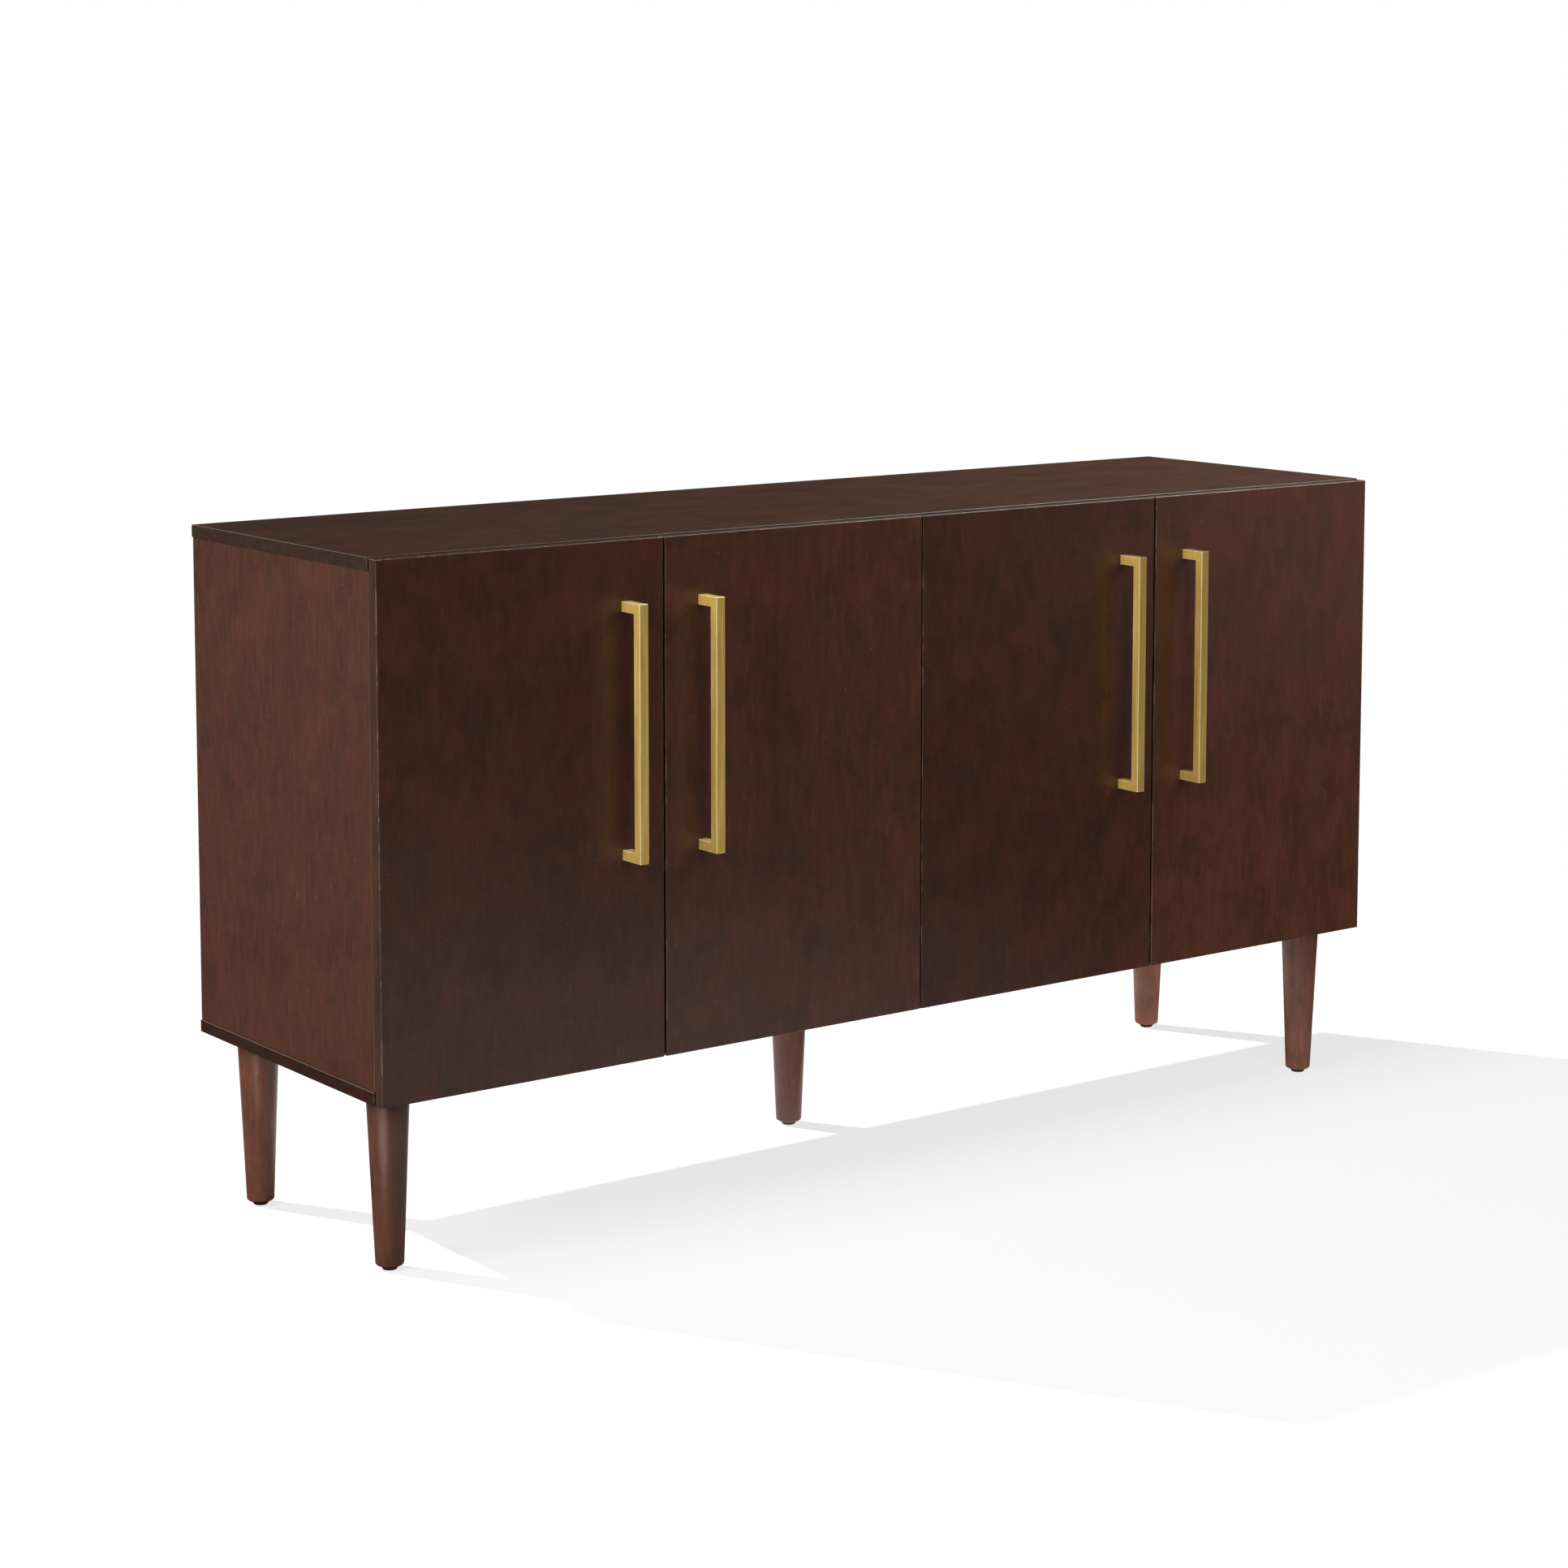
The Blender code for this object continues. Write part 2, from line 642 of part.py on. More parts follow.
def add_hinges(number, axis, meshes):
    hinge_x, side = DOORS[number]
    turn = (0.0, 0.0 if side > 0 else math.pi, 0.0)
    arm_mesh = meshes["outer_arm"] if number in (1, 4) else meshes["middle_arm"]
    for height, z in HINGE_HEIGHTS.items():
        place = (hinge_x, DOOR_FRONT, z)
        pin = (hinge_x + side * CUP_PIN.x, DOOR_FRONT + CUP_PIN.y, z)
        make_object(f"hinge_cup_{number}_{height}", meshes["cup"], STEEL, axis, place, turn)
        make_object(f"hinge_link_{number}_{height}", meshes["link"], STEEL, axis, pin, turn)
        make_object(f"hinge_arm_{number}_{height}", arm_mesh, STEEL, None, place, turn)


def add_doors():
    meshes = {
        "cup": hinge_cup_mesh(),
        "link": outline_mesh(
            "hinge_link", [link_outline(), ring((0.0, 0.0), LINK_EYE_HOLE, SMALL_STEPS)], LINK_WIDTH
        ),
        "outer_arm": hinge_arm_mesh("outer_hinge_arm", OUTER_WALL_U),
        "middle_arm": hinge_arm_mesh("middle_hinge_arm", MIDDLE_WALL_U),
    }
    pull = outline_mesh("bar_pull", [pull_outline()], PULL_BAR)
    for number in DOORS:
        axis = add_axis_empty(number)
        add_door(number, axis)
        add_pull(number, pull, axis)
        add_hinges(number, axis, meshes)


add_carcass()
add_shelves()
add_legs()
add_doors()
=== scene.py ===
"""Looks of the sideboard buffet: stained veneer, turned legs, brushed brass pulls and the hidden
hardware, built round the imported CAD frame, with a pale floor, soft studio light and one camera.

World frame: metres, +Z up, the doors face -Y, +X is to the viewer's right when facing them.
"""
import math

import bmesh
import bpy
from mathutils import Euler, Matrix, Vector


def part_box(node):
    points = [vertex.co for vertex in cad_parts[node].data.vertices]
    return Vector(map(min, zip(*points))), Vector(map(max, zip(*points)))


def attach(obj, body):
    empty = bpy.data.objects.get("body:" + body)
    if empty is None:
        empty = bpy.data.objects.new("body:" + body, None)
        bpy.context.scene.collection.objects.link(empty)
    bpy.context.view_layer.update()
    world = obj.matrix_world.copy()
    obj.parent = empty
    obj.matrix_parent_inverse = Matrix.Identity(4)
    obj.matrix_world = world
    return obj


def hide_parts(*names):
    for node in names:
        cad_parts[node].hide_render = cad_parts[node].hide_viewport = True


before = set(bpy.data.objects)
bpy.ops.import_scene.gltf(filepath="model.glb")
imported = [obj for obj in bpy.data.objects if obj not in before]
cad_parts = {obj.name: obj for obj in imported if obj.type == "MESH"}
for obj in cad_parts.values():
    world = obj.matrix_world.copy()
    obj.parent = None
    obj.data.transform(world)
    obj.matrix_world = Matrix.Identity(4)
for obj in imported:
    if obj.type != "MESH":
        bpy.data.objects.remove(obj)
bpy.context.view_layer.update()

X, Y, Z = 0, 1, 2
EDGE_BAND_TINT = (0.88, 1.20, 1.45)

# Wood boards: axis of the grain, axis of the thickness, which of the two faces has rubbed edges
# with a painted highlight, how even the veneer's figure is, a tint for that board, partly its stain
# and partly painted light (lighter, or greyer with painted sheen, where more light falls), and the
# tint on its edge bands
BOARDS = {
    "top_panel": (X, Z, 0, 0.25, (0.72, 0.82, 0.84), (0.72, 0.95, 1.12)),
    "bottom_panel": (X, Z, -1, 0.25, (1.0, 1.0, 1.0), (0.45, 0.50, 0.55)),
    "left_side": (Z, X, 0, 0.35, (1.04, 1.18, 1.34), EDGE_BAND_TINT),
    "right_side": (Z, X, 0, 0.35, (1.04, 1.18, 1.34), EDGE_BAND_TINT),
    "centre_partition": (Z, X, 0, 0.5, (1.0, 1.0, 1.0), EDGE_BAND_TINT),
    "shelf_left": (X, Z, 1, 0.5, (1.0, 1.0, 1.0), EDGE_BAND_TINT),
    "shelf_right": (X, Z, 1, 0.5, (1.0, 1.0, 1.0), EDGE_BAND_TINT),
    "door_1": (Z, Y, -1, 0.22, (0.92, 0.86, 0.84), EDGE_BAND_TINT),
    "door_2": (Z, Y, -1, 0.22, (1.06, 1.03, 1.02), EDGE_BAND_TINT),
    "door_3": (Z, Y, -1, 0.22, (0.80, 0.73, 0.70), EDGE_BAND_TINT),
    "door_4": (Z, Y, -1, 0.22, (1.06, 0.96, 0.90), EDGE_BAND_TINT),
}
BACK_PANELS = ("back_panel_left", "back_panel_right")
DOOR_NUMBERS = (1, 2, 3, 4)
HINGED_AT_LEFT = (1, 3)
OUTER_DOORS = (1, 4)
HINGE_LEVELS = ("lower", "upper")

# The turned legs are paler than the boards, and each has its own factor on that: painted light, lighter
# where more light falls on the leg
LEG_STAIN = Vector((1.95, 2.08, 2.2))
LEGS = {
    "front_left": 0.78,
    "front_right": 1.12,
    "back_left": 0.95,
    "back_right": 1.80,
    "centre": 1.15,
}

# Lacquered wood
WOOD_SPECULAR = 0.55
LEG_SPECULAR = 0.6
LEG_EVENNESS = 0.3

# Stain colours, linear
DEEP_BROWN = (0.050, 0.0195, 0.0116)
MID_BROWN = (0.075, 0.0275, 0.0150)
PLAIN_BROWN = (0.070, 0.0250, 0.0140)
RED_BROWN = (0.096, 0.0268, 0.0150)
PALE_FIBRE = (0.180, 0.0800, 0.0480)
# Pale colour of the dust specks, and of the rubbed edges, where it is partly wear and partly a painted
# highlight
PALE_DUST_WEAR_AND_HIGHLIGHT = (0.34, 0.225, 0.190)

# The veneer's figure. Its grain runs along the last axis
FIGURE_STEP = Vector((1.37, 2.11, 0.83))  # moves the figure on from one board to the next
FIGURE_NOISES = {  # cells per metre along each axis, detail, roughness, and distortion if any
    "clouds": ((15.0, 15.0, 12.0), 5.0, 0.66),
    "bands": ((34.0, 34.0, 2.6), 2.0, 0.5, 0.3),
    "red_patches": ((19.0, 19.0, 14.0), 5.0, 0.68),
    "streaks": ((150.0, 150.0, 26.0), 3.0, 0.6),
    "fibres": ((600.0, 600.0, 30.0), 2.0, 0.6),
    "dashes": ((330.0, 330.0, 42.0), 1.0, 0.5),
    "mottle": ((75.0, 75.0, 50.0), 3.0, 0.6),
    "curls": ((8.0, 8.0, 5.0), 2.0, 0.55, 1.4),
    "curl_patches": ((16.0, 16.0, 9.0), 2.0, 0.6),
}
CLOUD_WEIGHT = 0.5
BAND_WEIGHT = 0.15
MOTTLE_WEIGHT = 0.35
# Ramps: from and to in the noise, then what they give there
TONE_RAMP = (0.40, 0.60, 0.0, 1.0)
REDNESS_RAMP = (0.42, 0.66, 0.0, 0.85)
STREAK_RAMP = (0.44, 0.78, 0.0, 0.16)
PORE_RAMP = (0.20, 0.46, 0.90, 1.0)
FIBRE_RAMP = (0.25, 0.75, 0.90, 1.10)
DASH_RAMP = (0.62, 0.74, 0.0, 0.26)
DASH_PATCH_RAMP = (0.40, 0.60, 0.0, 1.0)
CURL_TURNS = 22.0
CURL_LINE_RAMP = (0.0, 0.06, 1.0, 0.0)
CURL_PATCH_RAMP = (0.55, 0.70, 0.0, 0.34)
SPECKS_PER_METRE = 32.0
SPECK_RAMP = (0.018, 0.040, 0.55, 0.0)
LACQUER_ROUGHNESS = 0.26
STREAK_ROUGHNESS = 0.06
CLOUD_ROUGHNESS = 0.05
STREAK_HEIGHT = 0.7
FIBRE_HEIGHT = 0.3
FIGURE_BUMP = 0.25
FIGURE_BUMP_DEPTH = 0.00004

# Edges of the boards, by distance in metres
EDGE_BAND_RAMP = (0.0002, 0.0004, 0.0, 1.0)
# Rubbed edges: pale wear, and a painted highlight along the edges of the face that shows
RUB_AND_HIGHLIGHT_NOISE = ((70.0, 70.0, 24.0), 4.0, 0.75)
RUB_AND_HIGHLIGHT_REACH_RAMP = (0.38, 0.66, -0.0002, 0.0009)
RUB_AND_HIGHLIGHT_SHARE_RAMP = (0.36, 0.60, 0.10, 0.42)
EDGE_ROUGHNESS_RAMP = (0.0004, 0.0009, 0.60, 0.0)

FINE_WEIGHT = 0.6  # of the fine noise in a board's or a metal's tone. The clouds are the rest

# Fibreboard of the back
FIBREBOARD_DARK = (0.050, 0.024, 0.016)
FIBREBOARD_LIGHT = (0.086, 0.044, 0.031)
FIBREBOARD_NOISE = ((700.0, 700.0, 700.0), 4.0, 0.7)
FIBREBOARD_CLOUDS = ((9.0, 9.0, 9.0), 3.0, 0.6)
FIBREBOARD_TONE_RAMP = (0.35, 0.65, 0.0, 1.0)
FIBREBOARD_ROUGHNESS_RAMP = (0.3, 0.7, 0.58, 0.70)
FIBREBOARD_BUMP = 0.4
FIBREBOARD_BUMP_DEPTH = 0.0002
FIBREBOARD_SPECULAR = 0.25

# Brushed metals: dull and bright colour, roughness, share of metal, brushing in cells per metre
METALS = {
    "satin_brass": ((0.76, 0.455, 0.085), (1.0, 0.71, 0.190), 0.38, 0.45, (380.0, 380.0, 7.0)),
    # The pale colour of the pulls' bevels is partly polish and partly a painted highlight
    "polished_brass_edge_painted_highlight": ((1.0, 0.86, 0.42), (1.0, 0.95, 0.60), 0.30, 0.3, (900.0, 900.0, 14.0)),
    "nickelled_steel": ((0.50, 0.49, 0.47), (0.74, 0.73, 0.70), 0.26, 0.6, (500.0, 500.0, 90.0)),
}
BRUSH_DETAIL = (4.0, 0.7)
METAL_CLOUDS = ((60.0, 60.0, 16.0), 3.0, 0.6)
METAL_TONE_RAMP = (0.34, 0.66, 0.0, 1.0)
BRUSH_RANGE = (0.3, 0.7)
BRUSH_SMOOTHER = -0.05
BRUSH_ROUGHER = 0.07
BRUSH_BUMP = 0.25
BRUSH_BUMP_DEPTH = 0.00006

# Moulded plastic
PLASTIC_DARK = (0.012, 0.012, 0.012)
PLASTIC_LIGHT = (0.035, 0.034, 0.032)
PLASTIC_GRAIN = ((1500.0, 1500.0, 1500.0), 3.0, 0.6)
PLASTIC_SCUFFS = ((160.0, 160.0, 260.0), 3.0, 0.6)
PLASTIC_SCUFF_RAMP = (0.4, 0.75, 0.0, 1.0)
PLASTIC_ROUGHNESS_RAMP = (0.3, 0.7, 0.45, 0.62)
PLASTIC_BUMP = 0.3
PLASTIC_BUMP_DEPTH = 0.0001

# Mesh building
WELD_DISTANCE = 0.000001
CORNER_STEPS = 7
ROUNDING_STEPS = 2
BEVEL_ANGLE = math.radians(40)
CARVED_SHARP_ANGLE = math.radians(32)
LATHE_SHARP_ANGLE = math.radians(38)
# Arcs of turned edges: from and to, in degrees, and the number of points
QUARTER_ARC = (90, 0, 5)
HEAD_ARC = (75, 0, 5)
BUMPER_ARC = (75, 0, 7)
ARC_STEPS = 5
FOOT_ARC_STEPS = 8
GLIDE_ARC_STEPS = 6

# Pulls
PULL_BAR = 0.012
PULL_BEVEL = 0.0008
PULL_BEVEL_STEPS = 3
PULL_SCREW_INSET = 0.006  # screw axis, in from the end of the pull

# Legs and glides
LEG_TOP_RADIUS = 0.025
LEG_FOOT_RADIUS = 0.0165
LEG_EDGE_RADIUS = 0.0035
LEG_TOP_EDGE = 0.0010
STUD_RADIUS = 0.004
STUD_LENGTH = 0.010
LEG_STEPS = 72
GLIDE_RADIUS = 0.0107
GLIDE_FOOT_RADIUS = 0.0085
GLIDE_ROUNDING = 0.0010
GLIDE_SLOPE = 8  # degrees
GLIDE_STEPS = 48

# Concealed hinges, from the door's hinge edge (u), its front (v) and the hinge's middle (z)
CUP_CENTRE_U = 0.0225
CUP_RADIUS = 0.0174
CUP_WALL = 0.0012
CUP_FLOOR_V = 0.004
CUP_RIM_V = 0.0165
FLANGE_V = 0.0153
FLANGE_HALF_WIDTH = 0.008
FLANGE_HALF_LENGTH = 0.022
FLANGE_CORNER = 0.0055
CUP_PIN = (0.014, 0.0105)
CUP_PIN_RADIUS = 0.0014
CUP_PIN_REACH = 0.0144
CUP_SCREW_Z = 0.0196
ARM_INNER_U = 0.019
ARM_OUTER_U = 0.033
ARM_SKIN = 0.0015
ARM_FRONT_V = 0.0185
ARM_BACK_V = 0.072
ARM_HALF_HOLLOW = 0.0062
ARM_CORNER = 0.0016
ARM_SCREWS_V = (0.041, 0.061)
ARM_POCKET_RADIUS = 0.0036
ARM_POCKET_DEPTH = 0.0009
ARM_POCKET_OPENING = 0.001  # how far its cutter stands out
ARM_SCREW_RADIUS = 0.0029
ARM_SCREW_DEPTHS = (0.0012, 0.0002)  # of its foot and its head, below the arm's face
ARM_SLOTS = ((0.0018, 0.0004), (0.0004, 0.0018))  # half sizes of the crossed slots
PLATE_OUTER_U = ARM_INNER_U - ARM_SKIN / 2
PLATE_FRONT_V = 0.034
PLATE_BACK_V = 0.066
PLATE_HALF_HEIGHT = 0.020
PLATE_CORNER = 0.006
PLATE_SCREW_Z = 0.0145
PLATE_CLEARANCE = 0.0003  # between the plate and the wall
STEEL_ROUNDING = 0.0002
CUP_STEPS = 64
CUP_PIN_STEPS = 24
ARM_SCREW_STEPS = 32

# Screws: radius and height of the head, then radius and length of the shank
CUP_SCREW = (0.0021, 0.0008, 0.0012, 0.0006)
PLATE_SCREW = (0.0038, 0.0016, 0.0022, 0.0014)
PULL_SCREW = (0.0040, 0.0019, 0.0019, 0.0130)
BACK_SCREW = (0.0021, 0.0007, 0.0010, 0.0020)
# Shares of the head's height, then shares of its radius
HEAD_ROUNDING = 0.55
RECESS_DEPTH = 0.6
HEAD_FLAT = 0.45
RECESS_REACH = 0.58
RECESS_HALF_WIDTH = 0.13
SMALL_LATHE_STEPS = 32

# Small hardware
PIN_RADIUS = 0.0025
PIN_ROUNDING = 0.0009
PIN_CHAMFER = 0.0004
PIN_DEPTH_IN_WALL = 0.0071
PIN_COLLAR_RADIUS = 0.0045
PIN_COLLAR_THICKNESS = 0.0012
PIN_COLLAR_CHAMFER = 0.0003
BUMPER_RADIUS = 0.004
BUMPER_HEIGHT = 0.0016
BUMPER_INSET_X = 0.012
BUMPER_FLAT = 0.35
CAP_RADIUS = 0.0085
CAP_HEIGHT = 0.0009
CAP_RING = ((0.62, 1.0), (0.66, 0.72), (0.74, 0.72), (0.78, 1.0))  # shares of radius and height
CAP_ROUNDING = 0.7
CAP_STEPS = 48
CAP_FROM_WALL = 0.034
CAP_ROWS_Y = (-0.120, 0.140)
BACK_SCREW_HEIGHTS = (0.245, 0.345, 0.445, 0.580, 0.680, 0.780)
BACK_SCREW_X = 0.0038

# Camera
CAMERA_PLACE = (-2.6642, -3.5046, 1.2670)
CAMERA_AZIMUTH = -36.578
CAMERA_PITCH = 6.338
CAMERA_LENS = 80.86
CAMERA_SHIFT_Y = -0.160
CAMERA_SENSOR = 36.0
CAMERA_FAR = 50.0

# Floor and light
FLOOR_RADIUS = 2.1
FLOOR_STEPS = 128
FLOOR_ROUGHNESS = 0.9
# The camera sees the floor glow less under the body than in front of it: painted shade under the body
FLOOR_GLOW_AND_PAINTED_SHADE = (0.755, 0.858)  # as the camera sees it, under the body and in front of it
PAINTED_SHADE_FADE_Y = (0.0, -0.42)
FLOOR_WHITE = 0.15  # how much of the light on it the camera sees
# Brighter spots of the floor: brightness, centre, and the distances over which they fade
FLOOR_BOUNCE = 0.10  # as it lights the object, away from these spots
BOUNCE_SPOTS = (
    (1.35, (0.7, 0.05, 0.0), (0.3, 1.3)),
    (4.5, (-0.42, 0.0, 0.0), (0.05, 0.38)),  # under the body, for the left legs
)
FLOOR_SHEEN = 0.0  # as it mirrors in the object, away from these spots
SHEEN_SPOTS = (
    (0.50, (-0.2, -1.0, 0.0), (0.3, 1.3)),  # in the doors
    (0.80, (0.0, 0.85, 0.0), (0.75, 1.0)),  # a thin rim on the legs
    (4.0, (-1.28, -0.50, 0.0), (0.05, 0.42)),  # a satin stripe on the left legs
)
AMBIENT = 0.024
SUN_DIRECTION = Vector((0.389, -0.690, -0.609))
SUN_ANGLE = math.radians(1.6)
SUN_ENERGY = 1.3
FLOOR_SUN_ENERGY = 10.8  # falls on the floor only
# Softboxes: place, target, width, height and radiance
SOFTBOXES = {
    "key_left": ((-4.6, -0.6, 2.6), (0.0, -0.1, 0.5), 2.6, 2.6, 12.0),
    "strip_front_left": ((-3.4, -2.6, 0.9), (0.0, -0.2, 0.5), 0.7, 1.6, 3.0),
    "front": ((-0.5, -4.5, 3.0), (0.0, 0.0, 0.5), 2.5, 2.0, 3.4),
    "right": ((3.2, -0.9, 1.4), (0.7, 0.0, 0.5), 1.4, 1.4, 0.5),
    "right_low": ((2.4, -1.8, 0.6), (0.6, -0.2, 0.5), 1.0, 0.8, 0.3),
    "overhead_right": ((1.4, -0.5, 2.2), (0.9, 0.0, 0.8), 1.2, 1.2, 13.0),
}
NOT_LIT_FROM_OVERHEAD = ("studio_floor", "bar_pull_3", "bar_pull_4")


def add_node(tree, kind, inputs=None, **settings):
    """A shader node. An input is given a number or colour, or is linked if it gets a socket."""
    node = tree.nodes.new(kind)
    for key, value in settings.items():
        setattr(node, key, value)
    for key, value in (inputs or {}).items():
        if isinstance(value, bpy.types.NodeSocket):
            tree.links.new(value, node.inputs[key])
        else:
            node.inputs[key].default_value = value
    return node


def calculate(tree, operation, first, second=0.0, third=0.0):
    values = {0: first, 1: second, 2: third}
    return add_node(tree, "ShaderNodeMath", values, operation=operation).outputs[0]


def calculate_vector(tree, operation, first, second=(0.0, 0.0, 0.0)):
    values = {0: first, 1: second}
    return add_node(tree, "ShaderNodeVectorMath", values, operation=operation).outputs[0]


def ramp(tree, value, start, end, low=0.0, high=1.0):
    """Turns a value smoothly from low at start to high at end."""
    values = {"Value": value, "From Min": start, "From Max": end, "To Min": low, "To Max": high}
    node = add_node(tree, "ShaderNodeMapRange", values, interpolation_type="SMOOTHSTEP")
    return node.outputs["Result"]


def blend_colours(tree, share, first, second, mode="MIX"):
    node = add_node(tree, "ShaderNodeMix", data_type="RGBA", blend_type=mode)
    for index, value in ((0, share), (6, first), (7, second)):
        if isinstance(value, bpy.types.NodeSocket):
            tree.links.new(value, node.inputs[index])
        elif isinstance(value, float):
            node.inputs[index].default_value = value
        else:
            node.inputs[index].default_value = (*value, 1.0)
    return node.outputs[2]


def stretched_noise(tree, vector, scale, detail, roughness, distortion=0.0):
    """Noise with its own number of cells per metre along each axis."""
    values = {
        "Vector": calculate_vector(tree, "MULTIPLY", vector, scale), "Scale": 1.0,
        "Detail": detail, "Roughness": roughness, "Distortion": distortion,
    }
    return add_node(tree, "ShaderNodeTexNoise", values).outputs["Fac"]


def object_place(tree):
    """Coordinates in metres. On a CAD node they are the world's, as it stands at the origin."""
    return add_node(tree, "ShaderNodeTexCoord").outputs["Object"]


def add_bump(tree, shader, height, strength, distance):
    values = {"Height": height, "Strength": strength, "Distance": distance}
    bump = add_node(tree, "ShaderNodeBump", values)
    tree.links.new(bump.outputs[0], shader.inputs["Normal"])


def new_material(name):
    """A material with only its output and its Principled shader."""
    material = bpy.data.materials.new(name)
    material.use_nodes = True
    return material, material.node_tree, material.node_tree.nodes["Principled BSDF"]


def veneer_figure():
    """The figure of the stained veneer, as a node group. Its grain runs along the vector's Z."""
    tree = bpy.data.node_groups.new("veneer_figure", "ShaderNodeTree")
    tree.interface.new_socket("Vector", in_out="INPUT", socket_type="NodeSocketVector")
    tree.interface.new_socket("Evenness", in_out="INPUT", socket_type="NodeSocketFloat")
    for name, kind in (("Color", "Color"), ("Roughness", "Float"), ("Height", "Float")):
        tree.interface.new_socket(name, in_out="OUTPUT", socket_type="NodeSocket" + kind)
    start = tree.nodes.new("NodeGroupInput")
    end = tree.nodes.new("NodeGroupOutput")
    place = start.outputs["Vector"]

    noises = {name: stretched_noise(tree, place, *cells) for name, cells in FIGURE_NOISES.items()}
    clouds, streaks, fibres = noises["clouds"], noises["streaks"], noises["fibres"]

    tone = calculate(tree, "MULTIPLY", noises["bands"], BAND_WEIGHT)
    tone = calculate(tree, "MULTIPLY_ADD", clouds, CLOUD_WEIGHT, tone)
    tone = calculate(tree, "MULTIPLY_ADD", noises["mottle"], MOTTLE_WEIGHT, tone)
    colour = blend_colours(tree, ramp(tree, tone, *TONE_RAMP), DEEP_BROWN, MID_BROWN)
    redness = ramp(tree, noises["red_patches"], *REDNESS_RAMP)
    colour = blend_colours(tree, redness, colour, RED_BROWN)
    colour = blend_colours(tree, ramp(tree, streaks, *STREAK_RAMP), colour, PALE_FIBRE)

    dash_patches = ramp(tree, noises["red_patches"], *DASH_PATCH_RAMP)
    dash_share = calculate(tree, "MULTIPLY", ramp(tree, noises["dashes"], *DASH_RAMP), dash_patches)
    colour = blend_colours(tree, dash_share, colour, PALE_FIBRE)

    curl_turns = calculate(tree, "FRACT", calculate(tree, "MULTIPLY", noises["curls"], CURL_TURNS))
    curl_line = calculate(tree, "ABSOLUTE", calculate(tree, "SUBTRACT", curl_turns, 0.5))
    curl_patches = ramp(tree, noises["curl_patches"], *CURL_PATCH_RAMP)
    curl_share = calculate(tree, "MULTIPLY", ramp(tree, curl_line, *CURL_LINE_RAMP), curl_patches)
    colour = blend_colours(tree, curl_share, colour, PALE_FIBRE)

    specks = add_node(tree, "ShaderNodeTexVoronoi", {"Vector": place, "Scale": SPECKS_PER_METRE})
    speck_share = ramp(tree, specks.outputs["Distance"], *SPECK_RAMP)
    colour = blend_colours(tree, speck_share, colour, PALE_DUST_WEAR_AND_HIGHLIGHT)

    colour = blend_colours(tree, start.outputs["Evenness"], colour, PLAIN_BROWN)
    pores = ramp(tree, streaks, *PORE_RAMP)
    shade = calculate(tree, "MULTIPLY", pores, ramp(tree, fibres, *FIBRE_RAMP))
    grey = add_node(tree, "ShaderNodeCombineColor", {"Red": shade, "Green": shade, "Blue": shade})
    colour = blend_colours(tree, 1.0, colour, grey.outputs[0], "MULTIPLY")
    rough = calculate(tree, "MULTIPLY_ADD", streaks, STREAK_ROUGHNESS, LACQUER_ROUGHNESS)
    rough = calculate(tree, "MULTIPLY_ADD", clouds, CLOUD_ROUGHNESS, rough)
    height = calculate(tree, "MULTIPLY", fibres, FIBRE_HEIGHT)
    height = calculate(tree, "MULTIPLY_ADD", streaks, STREAK_HEIGHT, height)
    tree.links.new(colour, end.inputs["Color"])
    tree.links.new(rough, end.inputs["Roughness"])
    tree.links.new(height, end.inputs["Height"])
    return tree


FIGURE = veneer_figure()


def figure_vector(tree, place, grain, index):
    """The place with the grain turned to Z and the figure moved on for this board."""
    parts = add_node(tree, "ShaderNodeSeparateXYZ", {0: place}).outputs
    order = {X: (2, 1, 0), Z: (0, 1, 2)}[grain]
    turned = add_node(
        tree, "ShaderNodeCombineXYZ", {0: parts[order[0]], 1: parts[order[1]], 2: parts[order[2]]}
    ).outputs[0]
    return calculate_vector(tree, "ADD", turned, tuple(FIGURE_STEP * index))


def add_figure(tree, shader, vector, evenness):
    """Veneer bump into the shader. Returns the sockets of its colour and its roughness."""
    figure = add_node(tree, "ShaderNodeGroup", node_tree=FIGURE)
    tree.links.new(vector, figure.inputs["Vector"])
    figure.inputs["Evenness"].default_value = evenness
    add_bump(tree, shader, figure.outputs["Height"], FIGURE_BUMP, FIGURE_BUMP_DEPTH)
    return figure.outputs["Color"], figure.outputs["Roughness"]


